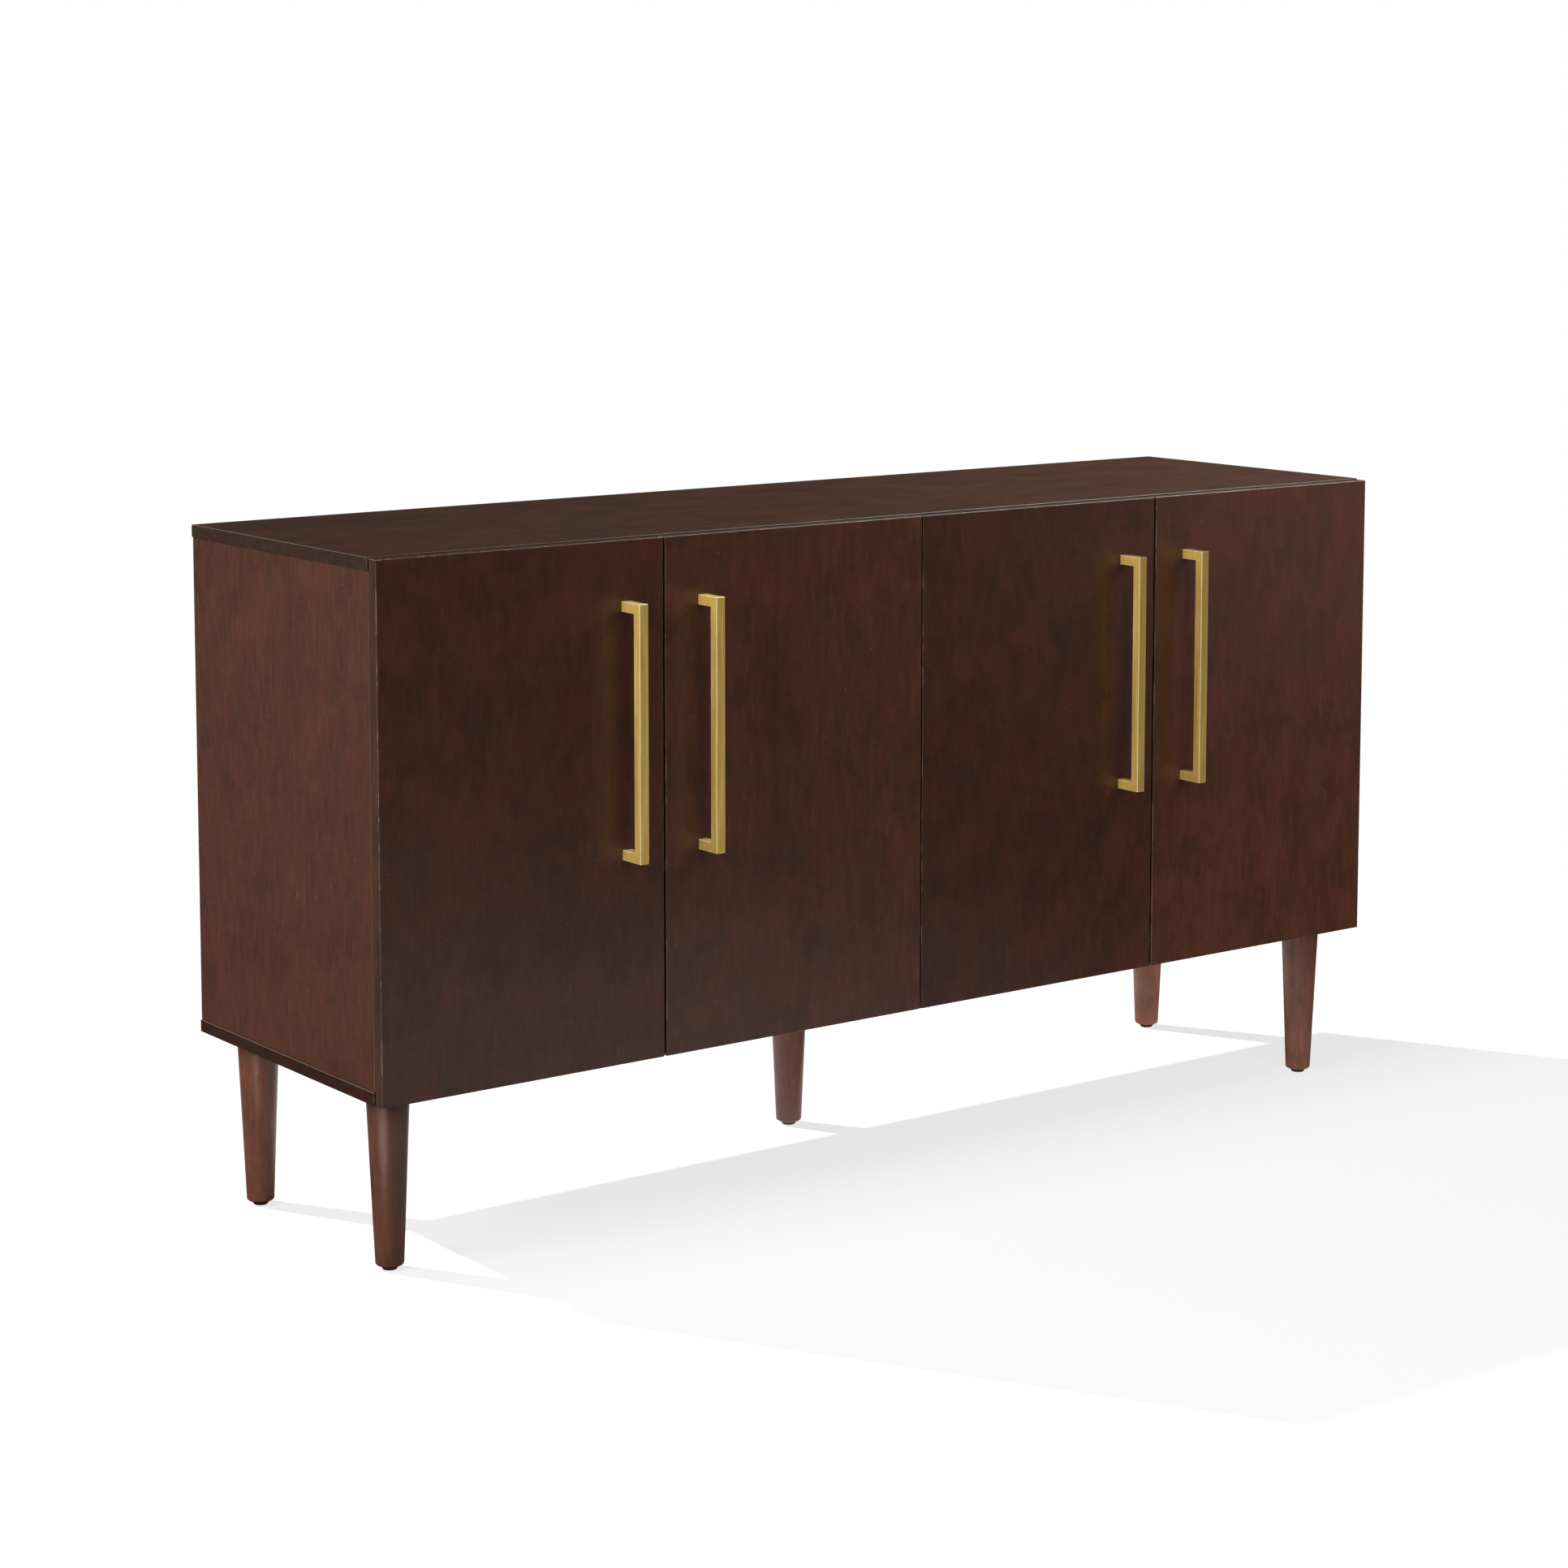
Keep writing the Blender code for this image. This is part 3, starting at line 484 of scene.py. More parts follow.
def board_material(name, grain, thickness, rubbed_and_highlit_face, evenness, stain_and_painted_light, edge_tint, index):
    """Stained veneer on one board: figure on its faces, tinted edge bands, and edges rubbed
    pale, with a painted highlight, along the face that shows (-1 or 1 along the thickness, or 0
    for none)."""
    material, tree, shader = new_material("veneer_" + name)
    place = object_place(tree)
    vector = figure_vector(tree, place, grain, index)
    figure_colour, figure_rough = add_figure(tree, shader, vector, evenness)
    # Times the board's tint: partly its stain, partly painted light
    colour = blend_colours(tree, 1.0, figure_colour, stain_and_painted_light, "MULTIPLY")

    # The least distance to an edge is the middle one of the distances to the three pairs of faces
    low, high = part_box(name)
    centre, half = (low + high) / 2, (high - low) / 2
    offset = calculate_vector(tree, "SUBTRACT", place, tuple(centre))
    distance = calculate_vector(tree, "ABSOLUTE", offset)
    inset = calculate_vector(tree, "SUBTRACT", tuple(half), distance)
    sides = add_node(tree, "ShaderNodeSeparateXYZ", {0: inset}).outputs
    nearer = calculate(tree, "MINIMUM", sides[0], sides[1])
    farther = calculate(tree, "MAXIMUM", sides[0], sides[1])
    to_edge = calculate(tree, "MAXIMUM", nearer, calculate(tree, "MINIMUM", farther, sides[2]))

    banded = blend_colours(tree, 1.0, colour, edge_tint, "MULTIPLY")
    colour = blend_colours(tree, ramp(tree, sides[thickness], *EDGE_BAND_RAMP), colour, banded)

    # The edges rubbed pale on the face that shows are partly wear and partly a painted highlight
    rub_and_highlight_noise = stretched_noise(tree, vector, *RUB_AND_HIGHLIGHT_NOISE)
    worn_and_highlit = calculate(tree, "LESS_THAN", to_edge, ramp(tree, rub_and_highlight_noise, *RUB_AND_HIGHLIGHT_REACH_RAMP))
    depths = add_node(tree, "ShaderNodeSeparateXYZ", {0: offset}).outputs
    outward = calculate(tree, "MULTIPLY", depths[thickness], float(rubbed_and_highlit_face))
    worn_and_highlit = calculate(tree, "MULTIPLY", worn_and_highlit, calculate(tree, "GREATER_THAN", outward, 0.0))
    wear_and_highlight_share = calculate(tree, "MULTIPLY", worn_and_highlit, ramp(tree, rub_and_highlight_noise, *RUB_AND_HIGHLIGHT_SHARE_RAMP))
    colour = blend_colours(tree, wear_and_highlight_share, colour, PALE_DUST_WEAR_AND_HIGHLIGHT)
    edge_rough = ramp(tree, to_edge, *EDGE_ROUGHNESS_RAMP)
    rough = calculate(tree, "MAXIMUM", figure_rough, edge_rough)
    tree.links.new(colour, shader.inputs["Base Color"])
    tree.links.new(rough, shader.inputs["Roughness"])
    shader.inputs["Specular IOR Level"].default_value = WOOD_SPECULAR
    return material


def turned_wood_material(name, painted_light_factor, index):
    material, tree, shader = new_material(name)
    vector = figure_vector(tree, object_place(tree), Z, index)
    figure_colour, figure_rough = add_figure(tree, shader, vector, LEG_EVENNESS)
    # The leg's own factor paints in how much light falls on it
    colour = blend_colours(tree, 1.0, figure_colour, tuple(LEG_STAIN * painted_light_factor), "MULTIPLY")
    tree.links.new(colour, shader.inputs["Base Color"])
    tree.links.new(figure_rough, shader.inputs["Roughness"])
    shader.inputs["Specular IOR Level"].default_value = LEG_SPECULAR
    return material


def fine_tone(tree, fine, clouds):
    """A tone from fine noise over clouds."""
    rest = calculate(tree, "MULTIPLY", clouds, 1.0 - FINE_WEIGHT)
    return calculate(tree, "MULTIPLY_ADD", fine, FINE_WEIGHT, rest)


def back_board_material():
    """Thin fibreboard with a printed brown face: fine random fibres and soft clouds."""
    material, tree, shader = new_material("fibreboard")
    place = object_place(tree)
    fibres = stretched_noise(tree, place, *FIBREBOARD_NOISE)
    clouds = stretched_noise(tree, place, *FIBREBOARD_CLOUDS)
    tone = ramp(tree, fine_tone(tree, fibres, clouds), *FIBREBOARD_TONE_RAMP)
    colour = blend_colours(tree, tone, FIBREBOARD_DARK, FIBREBOARD_LIGHT)
    rough = ramp(tree, clouds, *FIBREBOARD_ROUGHNESS_RAMP)
    tree.links.new(colour, shader.inputs["Base Color"])
    tree.links.new(rough, shader.inputs["Roughness"])
    add_bump(tree, shader, fibres, FIBREBOARD_BUMP, FIBREBOARD_BUMP_DEPTH)
    shader.inputs["Specular IOR Level"].default_value = FIBREBOARD_SPECULAR
    return material


def brushed_metal(name):
    """Metal brushed along Z: fine lines in its colour, roughness and surface."""
    dull, bright, roughness, metallic, brushing = METALS[name]
    material, tree, shader = new_material(name)
    place = object_place(tree)
    lines = stretched_noise(tree, place, brushing, *BRUSH_DETAIL)
    clouds = stretched_noise(tree, place, *METAL_CLOUDS)
    tone = ramp(tree, fine_tone(tree, lines, clouds), *METAL_TONE_RAMP)
    colour = blend_colours(tree, tone, dull, bright)
    rough = ramp(tree, lines, *BRUSH_RANGE, roughness + BRUSH_SMOOTHER, roughness + BRUSH_ROUGHER)
    tree.links.new(colour, shader.inputs["Base Color"])
    tree.links.new(rough, shader.inputs["Roughness"])
    add_bump(tree, shader, lines, BRUSH_BUMP, BRUSH_BUMP_DEPTH)
    shader.inputs["Metallic"].default_value = metallic
    return material


def moulded_plastic(name):
    """Black moulded plastic with a fine spark-eroded grain."""
    material, tree, shader = new_material(name)
    place = object_place(tree)
    grain = stretched_noise(tree, place, *PLASTIC_GRAIN)
    scuffs = ramp(tree, stretched_noise(tree, place, *PLASTIC_SCUFFS), *PLASTIC_SCUFF_RAMP)
    colour = blend_colours(tree, scuffs, PLASTIC_DARK, PLASTIC_LIGHT)
    rough = ramp(tree, grain, *PLASTIC_ROUGHNESS_RAMP)
    tree.links.new(colour, shader.inputs["Base Color"])
    tree.links.new(rough, shader.inputs["Roughness"])
    add_bump(tree, shader, grain, PLASTIC_BUMP, PLASTIC_BUMP_DEPTH)
    return material


BRASS = brushed_metal("satin_brass")
POLISHED_BRASS_PAINTED_HIGHLIGHT = brushed_metal("polished_brass_edge_painted_highlight")
STEEL = brushed_metal("nickelled_steel")
GLIDE_PLASTIC = moulded_plastic("glide_plastic")


def add_object(name, data):
    thing = bpy.data.objects.new(name, data)
    bpy.context.scene.collection.objects.link(thing)
    return thing


def set_material(piece, material):
    piece.data.materials.clear()
    piece.data.materials.append(material)


def mesh_piece(name, mesh, material, body, place=(0.0, 0.0, 0.0), turn=(0.0, 0.0, 0.0)):
    """A new piece that rides on a body and takes its finish from a material slot."""
    piece = add_object(name, mesh)
    piece.location = place
    piece.rotation_euler = turn
    if not mesh.materials:
        mesh.materials.append(material)
    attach(piece, body)
    return piece


def mesh_from(name, shape):
    """The bmesh as a mesh, with its normals outward. The bmesh is freed."""
    bmesh.ops.recalc_face_normals(shape, faces=shape.faces)
    mesh = bpy.data.meshes.new(name)
    shape.to_mesh(mesh)
    shape.free()
    return mesh


def welded_mesh(name, shape):
    bmesh.ops.remove_doubles(shape, verts=shape.verts, dist=WELD_DISTANCE)
    return mesh_from(name, shape)


def lathe_mesh(name, profile, steps):
    """A turned shape about Z from (radius, height) points, closed where the radius is nought."""
    shape = bmesh.new()
    rows = []
    for radius, height in profile:
        if radius == 0.0:
            rows.append([shape.verts.new((0.0, 0.0, height))])
            continue
        ring = []
        for i in range(steps):
            angle = 2 * math.pi * i / steps
            ring.append(shape.verts.new((radius * math.cos(angle), radius * math.sin(angle), height)))
        rows.append(ring)
    for upper, lower in zip(rows, rows[1:]):
        for i in range(steps):
            j = (i + 1) % steps
            corners = (
                upper[i % len(upper)], lower[i % len(lower)],
                lower[j % len(lower)], upper[j % len(upper)],
            )
            shape.faces.new(list(dict.fromkeys(corners)))
    mesh = mesh_from(name, shape)
    mesh.shade_smooth()
    mesh.set_sharp_from_angle(angle=LATHE_SHARP_ANGLE)
    return mesh


def arc(centre, radius, start, end, count):
    """Points on an arc between two angles in degrees."""
    points = []
    for i in range(count):
        angle = math.radians(start + (end - start) * i / (count - 1))
        points.append((centre[0] + radius * math.cos(angle), centre[1] + radius * math.sin(angle)))
    return points


def box_mesh(low, high):
    shape = bmesh.new()
    bmesh.ops.create_cube(shape, size=1.0)
    bmesh.ops.scale(shape, vec=Vector(high) - Vector(low), verts=shape.verts)
    bmesh.ops.translate(shape, vec=(Vector(low) + Vector(high)) / 2, verts=shape.verts)
    return welded_mesh("box", shape)


def rod_mesh(start, end, radius, steps):
    start, end = Vector(start), Vector(end)
    along = end - start
    turn = along.to_track_quat("Z", "Y").to_matrix().to_4x4()
    shape = bmesh.new()
    bmesh.ops.create_cone(
        shape, cap_ends=True, segments=steps, radius1=radius, radius2=radius,
        depth=along.length, matrix=Matrix.Translation((start + end) / 2) @ turn,
    )
    return welded_mesh("rod", shape)


def rounded_plate_mesh(centre, half, radius, axis):
    """A plate with rounded corners. Its thickness is along the axis."""
    first, second = [i for i in (X, Y, Z) if i != axis]
    outline = []
    for quarter, (a, b) in enumerate(((1, 1), (-1, 1), (-1, -1), (1, -1))):
        corner = (a * (half[first] - radius), b * (half[second] - radius))
        outline += arc(corner, radius, 90 * quarter, 90 * quarter + 90, CORNER_STEPS)
    shape = bmesh.new()
    rings = []
    for level in (-half[axis], half[axis]):
        ring = []
        for a, b in outline:
            point = Vector(centre)
            point[first] += a
            point[second] += b
            point[axis] += level
            ring.append(shape.verts.new(point))
        rings.append(ring)
    shape.faces.new(rings[0])
    shape.faces.new(rings[1])
    for i in range(len(outline)):
        j = (i + 1) % len(outline)
        shape.faces.new((rings[0][i], rings[0][j], rings[1][j], rings[1][i]))
    return welded_mesh("plate", shape)


def carved_mesh(name, base, steps, rounding=0.0):
    """A base mesh after (operation, mesh) steps, with its edges rounded last."""
    work = bpy.data.objects.new(name, base)
    helpers = [work]
    for operation, tool_mesh in steps:
        tool = bpy.data.objects.new("tool", tool_mesh)
        helpers.append(tool)
        step = work.modifiers.new(operation, "BOOLEAN")
        step.operation = operation
        step.solver = "EXACT"
        step.object = tool
    if rounding:
        bevel = work.modifiers.new("rounding", "BEVEL")
        bevel.width = rounding
        bevel.segments = ROUNDING_STEPS
        bevel.limit_method = "ANGLE"
        bevel.angle_limit = BEVEL_ANGLE
    for helper in helpers:
        bpy.context.scene.collection.objects.link(helper)
    view = bpy.context.evaluated_depsgraph_get()
    view.update()
    mesh = bpy.data.meshes.new_from_object(work.evaluated_get(view))
    mesh.name = name
    mesh.materials.clear()
    for helper in helpers:
        bpy.data.objects.remove(helper, do_unlink=True)
    mesh.shade_smooth()
    mesh.set_sharp_from_angle(angle=CARVED_SHARP_ANGLE)
    return mesh


def paint_boards():
    for index, (name, finish) in enumerate(BOARDS.items()):
        set_material(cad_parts[name], board_material(name, *finish, index))
    fibreboard = back_board_material()
    for name in BACK_PANELS:
        set_material(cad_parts[name], fibreboard)


def paint_links():
    for name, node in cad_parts.items():
        if name.startswith("hinge_link_"):
            set_material(node, STEEL)


def cross_recess(radius, depth, top):
    """Two crossed bars that cut a driver's recess into a screw head."""
    wide, narrow = radius * RECESS_REACH, radius * RECESS_HALF_WIDTH
    return [
        ("DIFFERENCE", box_mesh((-wide, -narrow, top - depth), (wide, narrow, top + depth))),
        ("DIFFERENCE", box_mesh((-narrow, -wide, top - depth), (narrow, wide, top + depth))),
    ]


def screw_mesh(name, radius, height, shank_radius, shank_length):
    """A pan head screw with a cross recess. Its head stands on Z = 0."""
    edge = height * HEAD_ROUNDING
    profile = [(0.0, height), (radius * HEAD_FLAT, height)]
    profile += arc((radius - edge, height - edge), edge, *HEAD_ARC)
    profile += [
        (radius, 0.0), (shank_radius, 0.0),
        (shank_radius, -shank_length), (0.0, -shank_length - shank_radius),
    ]
    head = lathe_mesh(name, profile, SMALL_LATHE_STEPS)
    return carved_mesh(name, head, cross_recess(radius, height * RECESS_DEPTH, height))


def hinge_cup_mesh():
    """A cup with its flange, hollow, and with the link's pin across it."""
    rim, floor = (CUP_CENTRE_U, CUP_RIM_V, 0.0), (CUP_CENTRE_U, CUP_FLOOR_V, 0.0)
    bowl = rod_mesh(floor, rim, CUP_RADIUS, CUP_STEPS)
    flange = rounded_plate_mesh(
        (CUP_CENTRE_U, (FLANGE_V + CUP_RIM_V) / 2, 0.0),
        (FLANGE_HALF_WIDTH, (CUP_RIM_V - FLANGE_V) / 2, FLANGE_HALF_LENGTH), FLANGE_CORNER, Y,
    )
    hollow = rod_mesh(
        (CUP_CENTRE_U, CUP_FLOOR_V + CUP_WALL, 0.0), (CUP_CENTRE_U, 2 * CUP_RIM_V, 0.0),
        CUP_RADIUS - CUP_WALL, CUP_STEPS,
    )
    pin = rod_mesh((*CUP_PIN, -CUP_PIN_REACH), (*CUP_PIN, CUP_PIN_REACH), CUP_PIN_RADIUS, CUP_PIN_STEPS)
    steps = [("UNION", flange), ("DIFFERENCE", hollow), ("UNION", pin)]
    return carved_mesh("hinge_cup", bowl, steps, STEEL_ROUNDING)


def hinge_arm_mesh(name, wall_u):
    """A stamped arm, hollow for the link, with two adjusting screws, on its winged plate."""
    inner_u, outer_u = ARM_INNER_U - ARM_SKIN, ARM_OUTER_U + ARM_SKIN
    shell = rounded_plate_mesh(
        ((inner_u + outer_u) / 2, (ARM_FRONT_V + ARM_BACK_V) / 2, 0.0),
        ((outer_u - inner_u) / 2, (ARM_BACK_V - ARM_FRONT_V) / 2, ARM_HALF_HOLLOW + ARM_SKIN),
        ARM_CORNER, Y,
    )
    plate = rounded_plate_mesh(
        ((wall_u + PLATE_OUTER_U) / 2, (PLATE_FRONT_V + PLATE_BACK_V) / 2, 0.0),
        ((PLATE_OUTER_U - wall_u) / 2, (PLATE_BACK_V - PLATE_FRONT_V) / 2, PLATE_HALF_HEIGHT),
        PLATE_CORNER, X,
    )
    hollow = box_mesh(
        (ARM_INNER_U, ARM_FRONT_V - ARM_SKIN, -ARM_HALF_HOLLOW),
        (ARM_OUTER_U, ARM_BACK_V + ARM_SKIN, ARM_HALF_HOLLOW),
    )
    steps = [("UNION", plate), ("DIFFERENCE", hollow)]
    pocket_u = outer_u - ARM_POCKET_DEPTH
    screw_foot, screw_head = [outer_u - depth for depth in ARM_SCREW_DEPTHS]
    for v in ARM_SCREWS_V:
        opening = (outer_u + ARM_POCKET_OPENING, v, 0.0)
        pocket = rod_mesh((pocket_u, v, 0.0), opening, ARM_POCKET_RADIUS, ARM_SCREW_STEPS)
        steps.append(("DIFFERENCE", pocket))
        screw = rod_mesh((screw_foot, v, 0.0), (screw_head, v, 0.0), ARM_SCREW_RADIUS, ARM_SCREW_STEPS)
        steps.append(("UNION", screw))
        for across, tall in ARM_SLOTS:
            slot = box_mesh((pocket_u, v - across, -tall), (outer_u, v + across, tall))
            steps.append(("DIFFERENCE", slot))
    return carved_mesh(name, shell, steps, STEEL_ROUNDING)


def add_hinges():
    """Cups on the doors and arms on the walls, each with its own two screws."""
    outer_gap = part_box("left_side")[1].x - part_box("door_1")[0].x
    middle_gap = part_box("centre_partition")[1].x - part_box("door_3")[0].x
    plate_v = (PLATE_FRONT_V + PLATE_BACK_V) / 2
    cup_mesh = hinge_cup_mesh()
    arm_meshes = {
        "outer": hinge_arm_mesh("outer_hinge_arm", outer_gap + PLATE_CLEARANCE),
        "middle": hinge_arm_mesh("middle_hinge_arm", middle_gap + PLATE_CLEARANCE),
    }
    cup_screw = screw_mesh("cup_screw", *CUP_SCREW)
    plate_screw = screw_mesh("plate_screw", *PLATE_SCREW)
    for number in DOOR_NUMBERS:
        side = 1 if number in HINGED_AT_LEFT else -1
        low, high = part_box(f"door_{number}")
        hinge_x = low.x if side > 0 else high.x
        arm_mesh = arm_meshes["outer" if number in OUTER_DOORS else "middle"]
        leaf = f"door_{number}_leaf"
        turn = (0.0, 0.0 if side > 0 else math.pi, 0.0)
        for level in HINGE_LEVELS:
            end = f"{number}_{level}"
            cup_low, cup_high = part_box(f"hinge_cup_{end}")
            middle = (cup_low.z + cup_high.z) / 2
            place = (hinge_x, low.y, middle)
            cup = mesh_piece(f"cup_{end}", cup_mesh, STEEL, leaf, place, turn)
            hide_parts(f"hinge_cup_{end}")
            arm = mesh_piece(f"arm_{end}", arm_mesh, STEEL, "carcass", place, turn)
            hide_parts(f"hinge_arm_{end}")
            for which, sign in (("low", -1), ("high", 1)):
                mesh_piece(
                    f"cup_screw_{end}_{which}", cup_screw, STEEL, leaf,
                    (hinge_x + side * CUP_CENTRE_U, low.y + CUP_RIM_V, middle + sign * CUP_SCREW_Z),
                    (-math.pi / 2, 0.0, 0.0),
                )
                mesh_piece(
                    f"plate_screw_{end}_{which}", plate_screw, STEEL, "carcass",
                    (hinge_x + side * PLATE_OUTER_U, low.y + plate_v, middle + sign * PLATE_SCREW_Z),
                    (0.0, side * math.pi / 2, 0.0),
                )


def add_door_hardware():
    """Pull screws and bumpers on the back of each door."""
    pull_screw = screw_mesh("pull_screw", *PULL_SCREW)
    profile = [(0.0, BUMPER_HEIGHT), (BUMPER_RADIUS * BUMPER_FLAT, BUMPER_HEIGHT)]
    profile += arc((BUMPER_RADIUS - BUMPER_HEIGHT, 0.0), BUMPER_HEIGHT, *BUMPER_ARC)
    profile.append((0.0, 0.0))
    bumper_mesh = lathe_mesh("bumper", profile, SMALL_LATHE_STEPS)
    bottom_low, bottom_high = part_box("bottom_panel")
    top_low, top_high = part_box("top_panel")
    backward = (-math.pi / 2, 0.0, 0.0)
    for number in DOOR_NUMBERS:
        leaf = f"door_{number}_leaf"
        door_low, door_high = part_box(f"door_{number}")
        pull_low, pull_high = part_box(f"pull_{number}")
        pull_x = (pull_low.x + pull_high.x) / 2
        bumper_x = door_low.x + BUMPER_INSET_X
        if number in HINGED_AT_LEFT:
            bumper_x = door_high.x - BUMPER_INSET_X
        for which, screw_z, bumper_z in (
            ("low", pull_low.z + PULL_SCREW_INSET, (bottom_low.z + bottom_high.z) / 2),
            ("high", pull_high.z - PULL_SCREW_INSET, (top_low.z + top_high.z) / 2),
        ):
            mesh_piece(
                f"pull_screw_{number}_{which}", pull_screw, STEEL, leaf,
                (pull_x, door_high.y, screw_z), backward,
            )
            mesh_piece(
                f"bumper_{number}_{which}", bumper_mesh, GLIDE_PLASTIC, leaf,
                (bumper_x, door_high.y, bumper_z), backward,
            )


def shelf_pin_mesh(half_length):
    """A pin about Z, with its middle at the origin, rounded at its free end, and with a collar."""
    collar_low = -half_length + PIN_DEPTH_IN_WALL
    collar_high = collar_low + PIN_COLLAR_THICKNESS
    rounding_centre = (PIN_RADIUS - PIN_ROUNDING, half_length - PIN_ROUNDING)
    profile = [(0.0, half_length)]
    profile += arc(rounding_centre, PIN_ROUNDING, *QUARTER_ARC)
    profile += [
        (PIN_RADIUS, collar_high),
        (PIN_COLLAR_RADIUS - PIN_COLLAR_CHAMFER, collar_high),
        (PIN_COLLAR_RADIUS, collar_high - PIN_COLLAR_CHAMFER),
        (PIN_COLLAR_RADIUS, collar_low),
        (PIN_RADIUS, collar_low),
        (PIN_RADIUS, -half_length + PIN_CHAMFER),
        (PIN_RADIUS - PIN_CHAMFER, -half_length),
        (0.0, -half_length),
    ]
    return lathe_mesh("shelf_pin", profile, SMALL_LATHE_STEPS)


def add_shelf_pins():
    """Plain steel pins with a collar against the wall and a rounded end under the shelf."""
    names = [name for name in sorted(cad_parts) if name.startswith("shelf_pin_")]
    first_low, first_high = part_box(names[0])
    mesh = shelf_pin_mesh((first_high.x - first_low.x) / 2)
    for name in names:
        low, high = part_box(name)
        points_right = "right_inner" in name or "left_outer" in name
        turn = (0.0, math.pi / 2 if points_right else -math.pi / 2, 0.0)
        place = (low + high) / 2
        pin = mesh_piece("rounded_" + name, mesh, STEEL, "carcass", place, turn)
        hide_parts(name)


def add_caps():
    """Plastic caps over the panel connectors, inside, by the sides and the partition."""
    rim = CAP_HEIGHT * CAP_ROUNDING
    profile = [(0.0, CAP_HEIGHT)]
    profile += [(CAP_RADIUS * across, CAP_HEIGHT * up) for across, up in CAP_RING]
    profile += arc((CAP_RADIUS - rim, CAP_HEIGHT - rim), rim, *QUARTER_ARC)
    profile += [(CAP_RADIUS, 0.0), (0.0, 0.0)]
    mesh = lathe_mesh("connector_cap", profile, CAP_STEPS)
    floor_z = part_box("bottom_panel")[1].z
    ceiling_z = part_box("top_panel")[0].z
    side_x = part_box("right_side")[0].x - CAP_FROM_WALL
    partition_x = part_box("centre_partition")[1].x + CAP_FROM_WALL
    count = 0
    for x in (-side_x, -partition_x, partition_x, side_x):
        for y in CAP_ROWS_Y:
            for z, turn in ((floor_z, 0.0), (ceiling_z, math.pi)):
                count += 1
                mesh_piece(
                    f"connector_cap_{count}", mesh, GLIDE_PLASTIC, "carcass",
                    (x, y, z), (turn, 0.0, 0.0),
                )


def add_back_screws():
    """Two rows of small screws that hold the back panels to the partition."""
    mesh = screw_mesh("back_screw", *BACK_SCREW)
    back_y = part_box("back_panel_left")[1].y
    for side, x in (("left", -BACK_SCREW_X), ("right", BACK_SCREW_X)):
        for index, z in enumerate(BACK_SCREW_HEIGHTS):
            mesh_piece(
                f"back_screw_{side}_{index + 1}", mesh, STEEL, "carcass",
                (x, back_y, z), (-math.pi / 2, 0.0, 0.0),
            )


def pull_mesh(size):
    """A square bar bent into a low U, standing on its two feet. Its corner is at the origin."""
    outline = (
        (0.0, 0.0), (size.y, 0.0), (size.y, PULL_BAR), (PULL_BAR, PULL_BAR),
        (PULL_BAR, size.z - PULL_BAR), (size.y, size.z - PULL_BAR), (size.y, size.z), (0.0, size.z),
    )
    shape = bmesh.new()
    near = [shape.verts.new((0.0, y, z)) for y, z in outline]
    far = [shape.verts.new((size.x, y, z)) for y, z in outline]
    shape.faces.new(near)
    shape.faces.new(reversed(far))
    count = len(outline)
    for i in range(count):
        j = (i + 1) % count
        shape.faces.new((near[i], far[i], far[j], near[j]))
    mesh = mesh_from("pull", shape)
    mesh.shade_smooth()
    return mesh


def add_pulls():
    low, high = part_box("pull_1")
    mesh = pull_mesh(high - low)
    mesh.materials.append(BRASS)
    mesh.materials.append(POLISHED_BRASS_PAINTED_HIGHLIGHT)
    for number in DOOR_NUMBERS:
        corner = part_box(f"pull_{number}")[0]
        leaf = f"door_{number}_leaf"
        pull = mesh_piece(f"bar_pull_{number}", mesh, BRASS, leaf, corner)
        bevel = pull.modifiers.new("rounded_edges", "BEVEL")
        bevel.width = PULL_BEVEL
        bevel.segments = PULL_BEVEL_STEPS
        bevel.harden_normals = True
        # The bevels take the pale brass: polished edges with a painted highlight
        bevel.material = mesh.materials.find(POLISHED_BRASS_PAINTED_HIGHLIGHT.name)
        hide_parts(f"pull_{number}")


def leg_profile():
    """Top down: the stud, the rounded top edge, the taper and the rounded foot."""
    low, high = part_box("leg_centre")
    top = high.z - STUD_LENGTH
    slope = math.degrees(math.atan2(LEG_TOP_RADIUS - LEG_FOOT_RADIUS, top - low.z))
    top_centre = (LEG_TOP_RADIUS - LEG_TOP_EDGE, top - LEG_TOP_EDGE)
    foot_centre = (LEG_FOOT_RADIUS - LEG_EDGE_RADIUS, low.z + LEG_EDGE_RADIUS)
    profile = [(0.0, high.z), (STUD_RADIUS, high.z), (STUD_RADIUS, top)]
    profile += arc(top_centre, LEG_TOP_EDGE, 90, -slope, ARC_STEPS)
    profile += arc(foot_centre, LEG_EDGE_RADIUS, -slope, -90, FOOT_ARC_STEPS)
    profile.append((0.0, low.z))
    return profile


def glide_profile():
    low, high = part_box("glide_centre")
    top_centre = (GLIDE_RADIUS - GLIDE_ROUNDING, high.z - GLIDE_ROUNDING)
    foot_centre = (GLIDE_FOOT_RADIUS - GLIDE_ROUNDING, low.z + GLIDE_ROUNDING)
    profile = [(0.0, high.z), (GLIDE_RADIUS - GLIDE_ROUNDING, high.z)]
    profile += arc(top_centre, GLIDE_ROUNDING, *QUARTER_ARC)
    profile += arc(foot_centre, GLIDE_ROUNDING, -GLIDE_SLOPE, -90, GLIDE_ARC_STEPS)
    profile.append((0.0, low.z))
    return profile


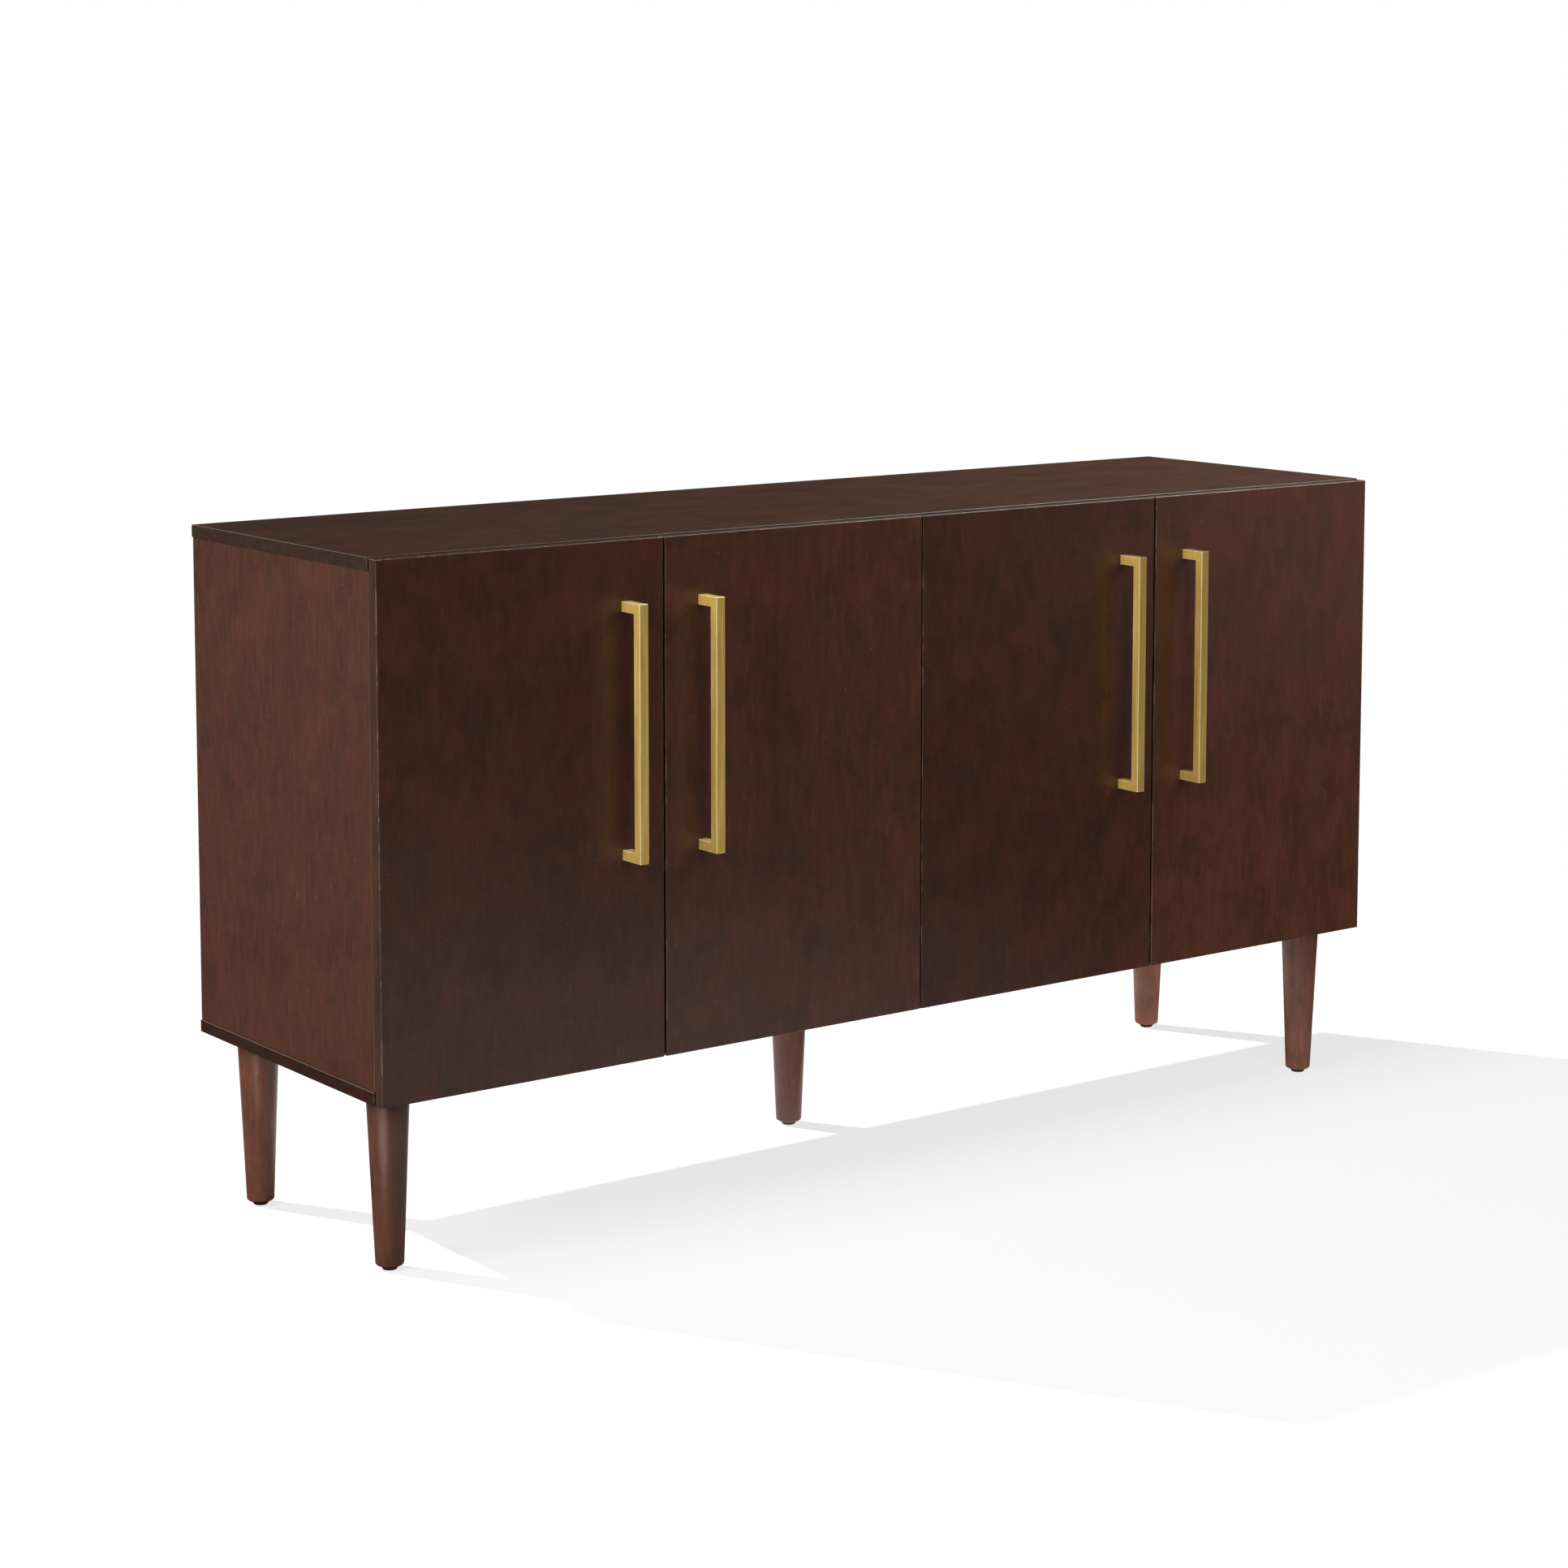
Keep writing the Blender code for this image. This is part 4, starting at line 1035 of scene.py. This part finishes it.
def add_legs():
    """Turned tapered legs with rounded feet, and their plastic glides."""
    for index, (name, painted_light_factor) in enumerate(LEGS.items()):
        wood = turned_wood_material(f"turned_wood_{name}", painted_light_factor, index + len(BOARDS))
        for kind, profile, steps, material, slot in (
            ("leg", leg_profile(), LEG_STEPS, wood, "dark_wood"),
            ("glide", glide_profile(), GLIDE_STEPS, GLIDE_PLASTIC, "glide_plastic"),
        ):
            low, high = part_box(f"{kind}_{name}")
            place = ((low.x + high.x) / 2, (low.y + high.y) / 2, 0.0)
            mesh = lathe_mesh(f"{kind}_mesh_{name}", profile, steps)
            piece = mesh_piece(f"turned_{kind}_{name}", mesh, material, "carcass", place)
            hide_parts(f"{kind}_{name}")


def brightest_spot(tree, spots, elsewhere):
    """Brightness over the floor: the brightest of its spots, and one value away from them all."""
    level = elsewhere
    for brightness, centre, fade in spots:
        values = {0: object_place(tree), 1: centre}
        distance = add_node(tree, "ShaderNodeVectorMath", values, operation="DISTANCE")
        spot = ramp(tree, distance.outputs["Value"], *fade, brightness, elsewhere)
        level = calculate(tree, "MAXIMUM", spot, level)
    return level


def add_floor():
    """A pale disc of floor that glows a little, so that shadows on it stay light. The camera sees it
    glow less under the body: painted shade.
    """
    shape = bmesh.new()
    bmesh.ops.create_circle(shape, cap_ends=True, segments=FLOOR_STEPS, radius=FLOOR_RADIUS)
    mesh = bpy.data.meshes.new("studio_floor")
    shape.to_mesh(mesh)
    shape.free()
    floor = add_object("studio_floor", mesh)
    material, tree, shader = new_material("studio_floor")
    shader.inputs["Roughness"].default_value = FLOOR_ROUGHNESS
    shader.inputs["Specular IOR Level"].default_value = 0.0
    shader.inputs["Emission Color"].default_value = (1.0, 1.0, 1.0, 1.0)
    ray = add_node(tree, "ShaderNodeLightPath").outputs
    bounce = brightest_spot(tree, BOUNCE_SPOTS, FLOOR_BOUNCE)
    sheen = brightest_spot(tree, SHEEN_SPOTS, FLOOR_SHEEN)
    glow = ramp(tree, ray["Is Glossy Ray"], 0.0, 1.0, bounce, sheen)
    # Dimmer glow under the body, as the camera sees it: painted shade, fading out forward
    depth = add_node(tree, "ShaderNodeSeparateXYZ", {0: object_place(tree)}).outputs[Y]
    seen_glow_and_painted_shade = ramp(tree, depth, *PAINTED_SHADE_FADE_Y, *FLOOR_GLOW_AND_PAINTED_SHADE)
    glow = ramp(tree, ray["Is Camera Ray"], 0.0, 1.0, glow, seen_glow_and_painted_shade)
    white = ramp(tree, ray["Is Camera Ray"], 0.0, 1.0, 0.0, FLOOR_WHITE)
    tree.links.new(white, shader.inputs["Base Color"])
    tree.links.new(glow, shader.inputs["Emission Strength"])
    mesh.materials.append(material)


def add_world():
    """White behind the object, and only a little light from all round."""
    world = bpy.data.worlds.new("studio")
    bpy.context.scene.world = world
    world.use_nodes = True
    tree = world.node_tree
    tree.nodes.clear()
    is_camera = add_node(tree, "ShaderNodeLightPath").outputs["Is Camera Ray"]
    values = {"Value": is_camera, "To Min": AMBIENT, "To Max": 1.0}
    strength = add_node(tree, "ShaderNodeMapRange", values).outputs["Result"]
    values = {"Color": (1.0, 1.0, 1.0, 1.0), "Strength": strength}
    background = add_node(tree, "ShaderNodeBackground", values)
    output = tree.nodes.new("ShaderNodeOutputWorld")
    tree.links.new(background.outputs[0], output.inputs["Surface"])


def add_softbox(name, place, target, width, height, radiance):
    """A rectangular area light, turned to its target. Its power gives the radiance asked for."""
    light = bpy.data.lights.new(name, "AREA")
    light.shape = "RECTANGLE"
    light.size = width
    light.size_y = height
    light.energy = math.pi * width * height * radiance
    lamp = add_object(name, light)
    lamp.location = place
    lamp.rotation_euler = (Vector(target) - Vector(place)).to_track_quat("-Z", "Y").to_euler()
    lamp.visible_camera = False
    return lamp


def add_sun(name, energy):
    """A small far light behind the object. Its shadows run forward and to the right."""
    light = bpy.data.lights.new(name, "SUN")
    light.energy = energy
    light.angle = SUN_ANGLE
    lamp = add_object(name, light)
    lamp.rotation_euler = SUN_DIRECTION.to_track_quat("-Z", "Y").to_euler()
    return lamp


def add_lights():
    softboxes = {name: add_softbox(name, *numbers) for name, numbers in SOFTBOXES.items()}
    add_sun("backlight", SUN_ENERGY)
    floor_sun = add_sun("floor_backlight", FLOOR_SUN_ENERGY)
    floor_only = bpy.data.collections.new("floor_only")
    floor_only.objects.link(bpy.data.objects["studio_floor"])
    floor_sun.light_linking.receiver_collection = floor_only
    left_out = bpy.data.collections.new("not_lit_from_overhead")
    for name in NOT_LIT_FROM_OVERHEAD:
        left_out.objects.link(bpy.data.objects[name])
    for entry in left_out.collection_objects:
        entry.light_linking.link_state = "EXCLUDE"
    softboxes["overhead_right"].light_linking.receiver_collection = left_out


def add_camera():
    data = bpy.data.cameras.new("camera")
    data.sensor_width = CAMERA_SENSOR
    data.lens = CAMERA_LENS
    data.shift_y = CAMERA_SHIFT_Y
    data.clip_end = CAMERA_FAR
    camera = add_object("camera", data)
    camera.location = CAMERA_PLACE
    camera.rotation_euler = Euler(
        (math.radians(90.0 - CAMERA_PITCH), 0.0, math.radians(CAMERA_AZIMUTH)), "XYZ"
    )
    bpy.context.scene.camera = camera
    bpy.context.scene.view_settings.view_transform = "Standard"


paint_boards()
paint_links()
add_pulls()
add_legs()
add_hinges()
add_door_hardware()
add_shelf_pins()
add_caps()
add_back_screws()
add_floor()
add_world()
add_lights()
add_camera()
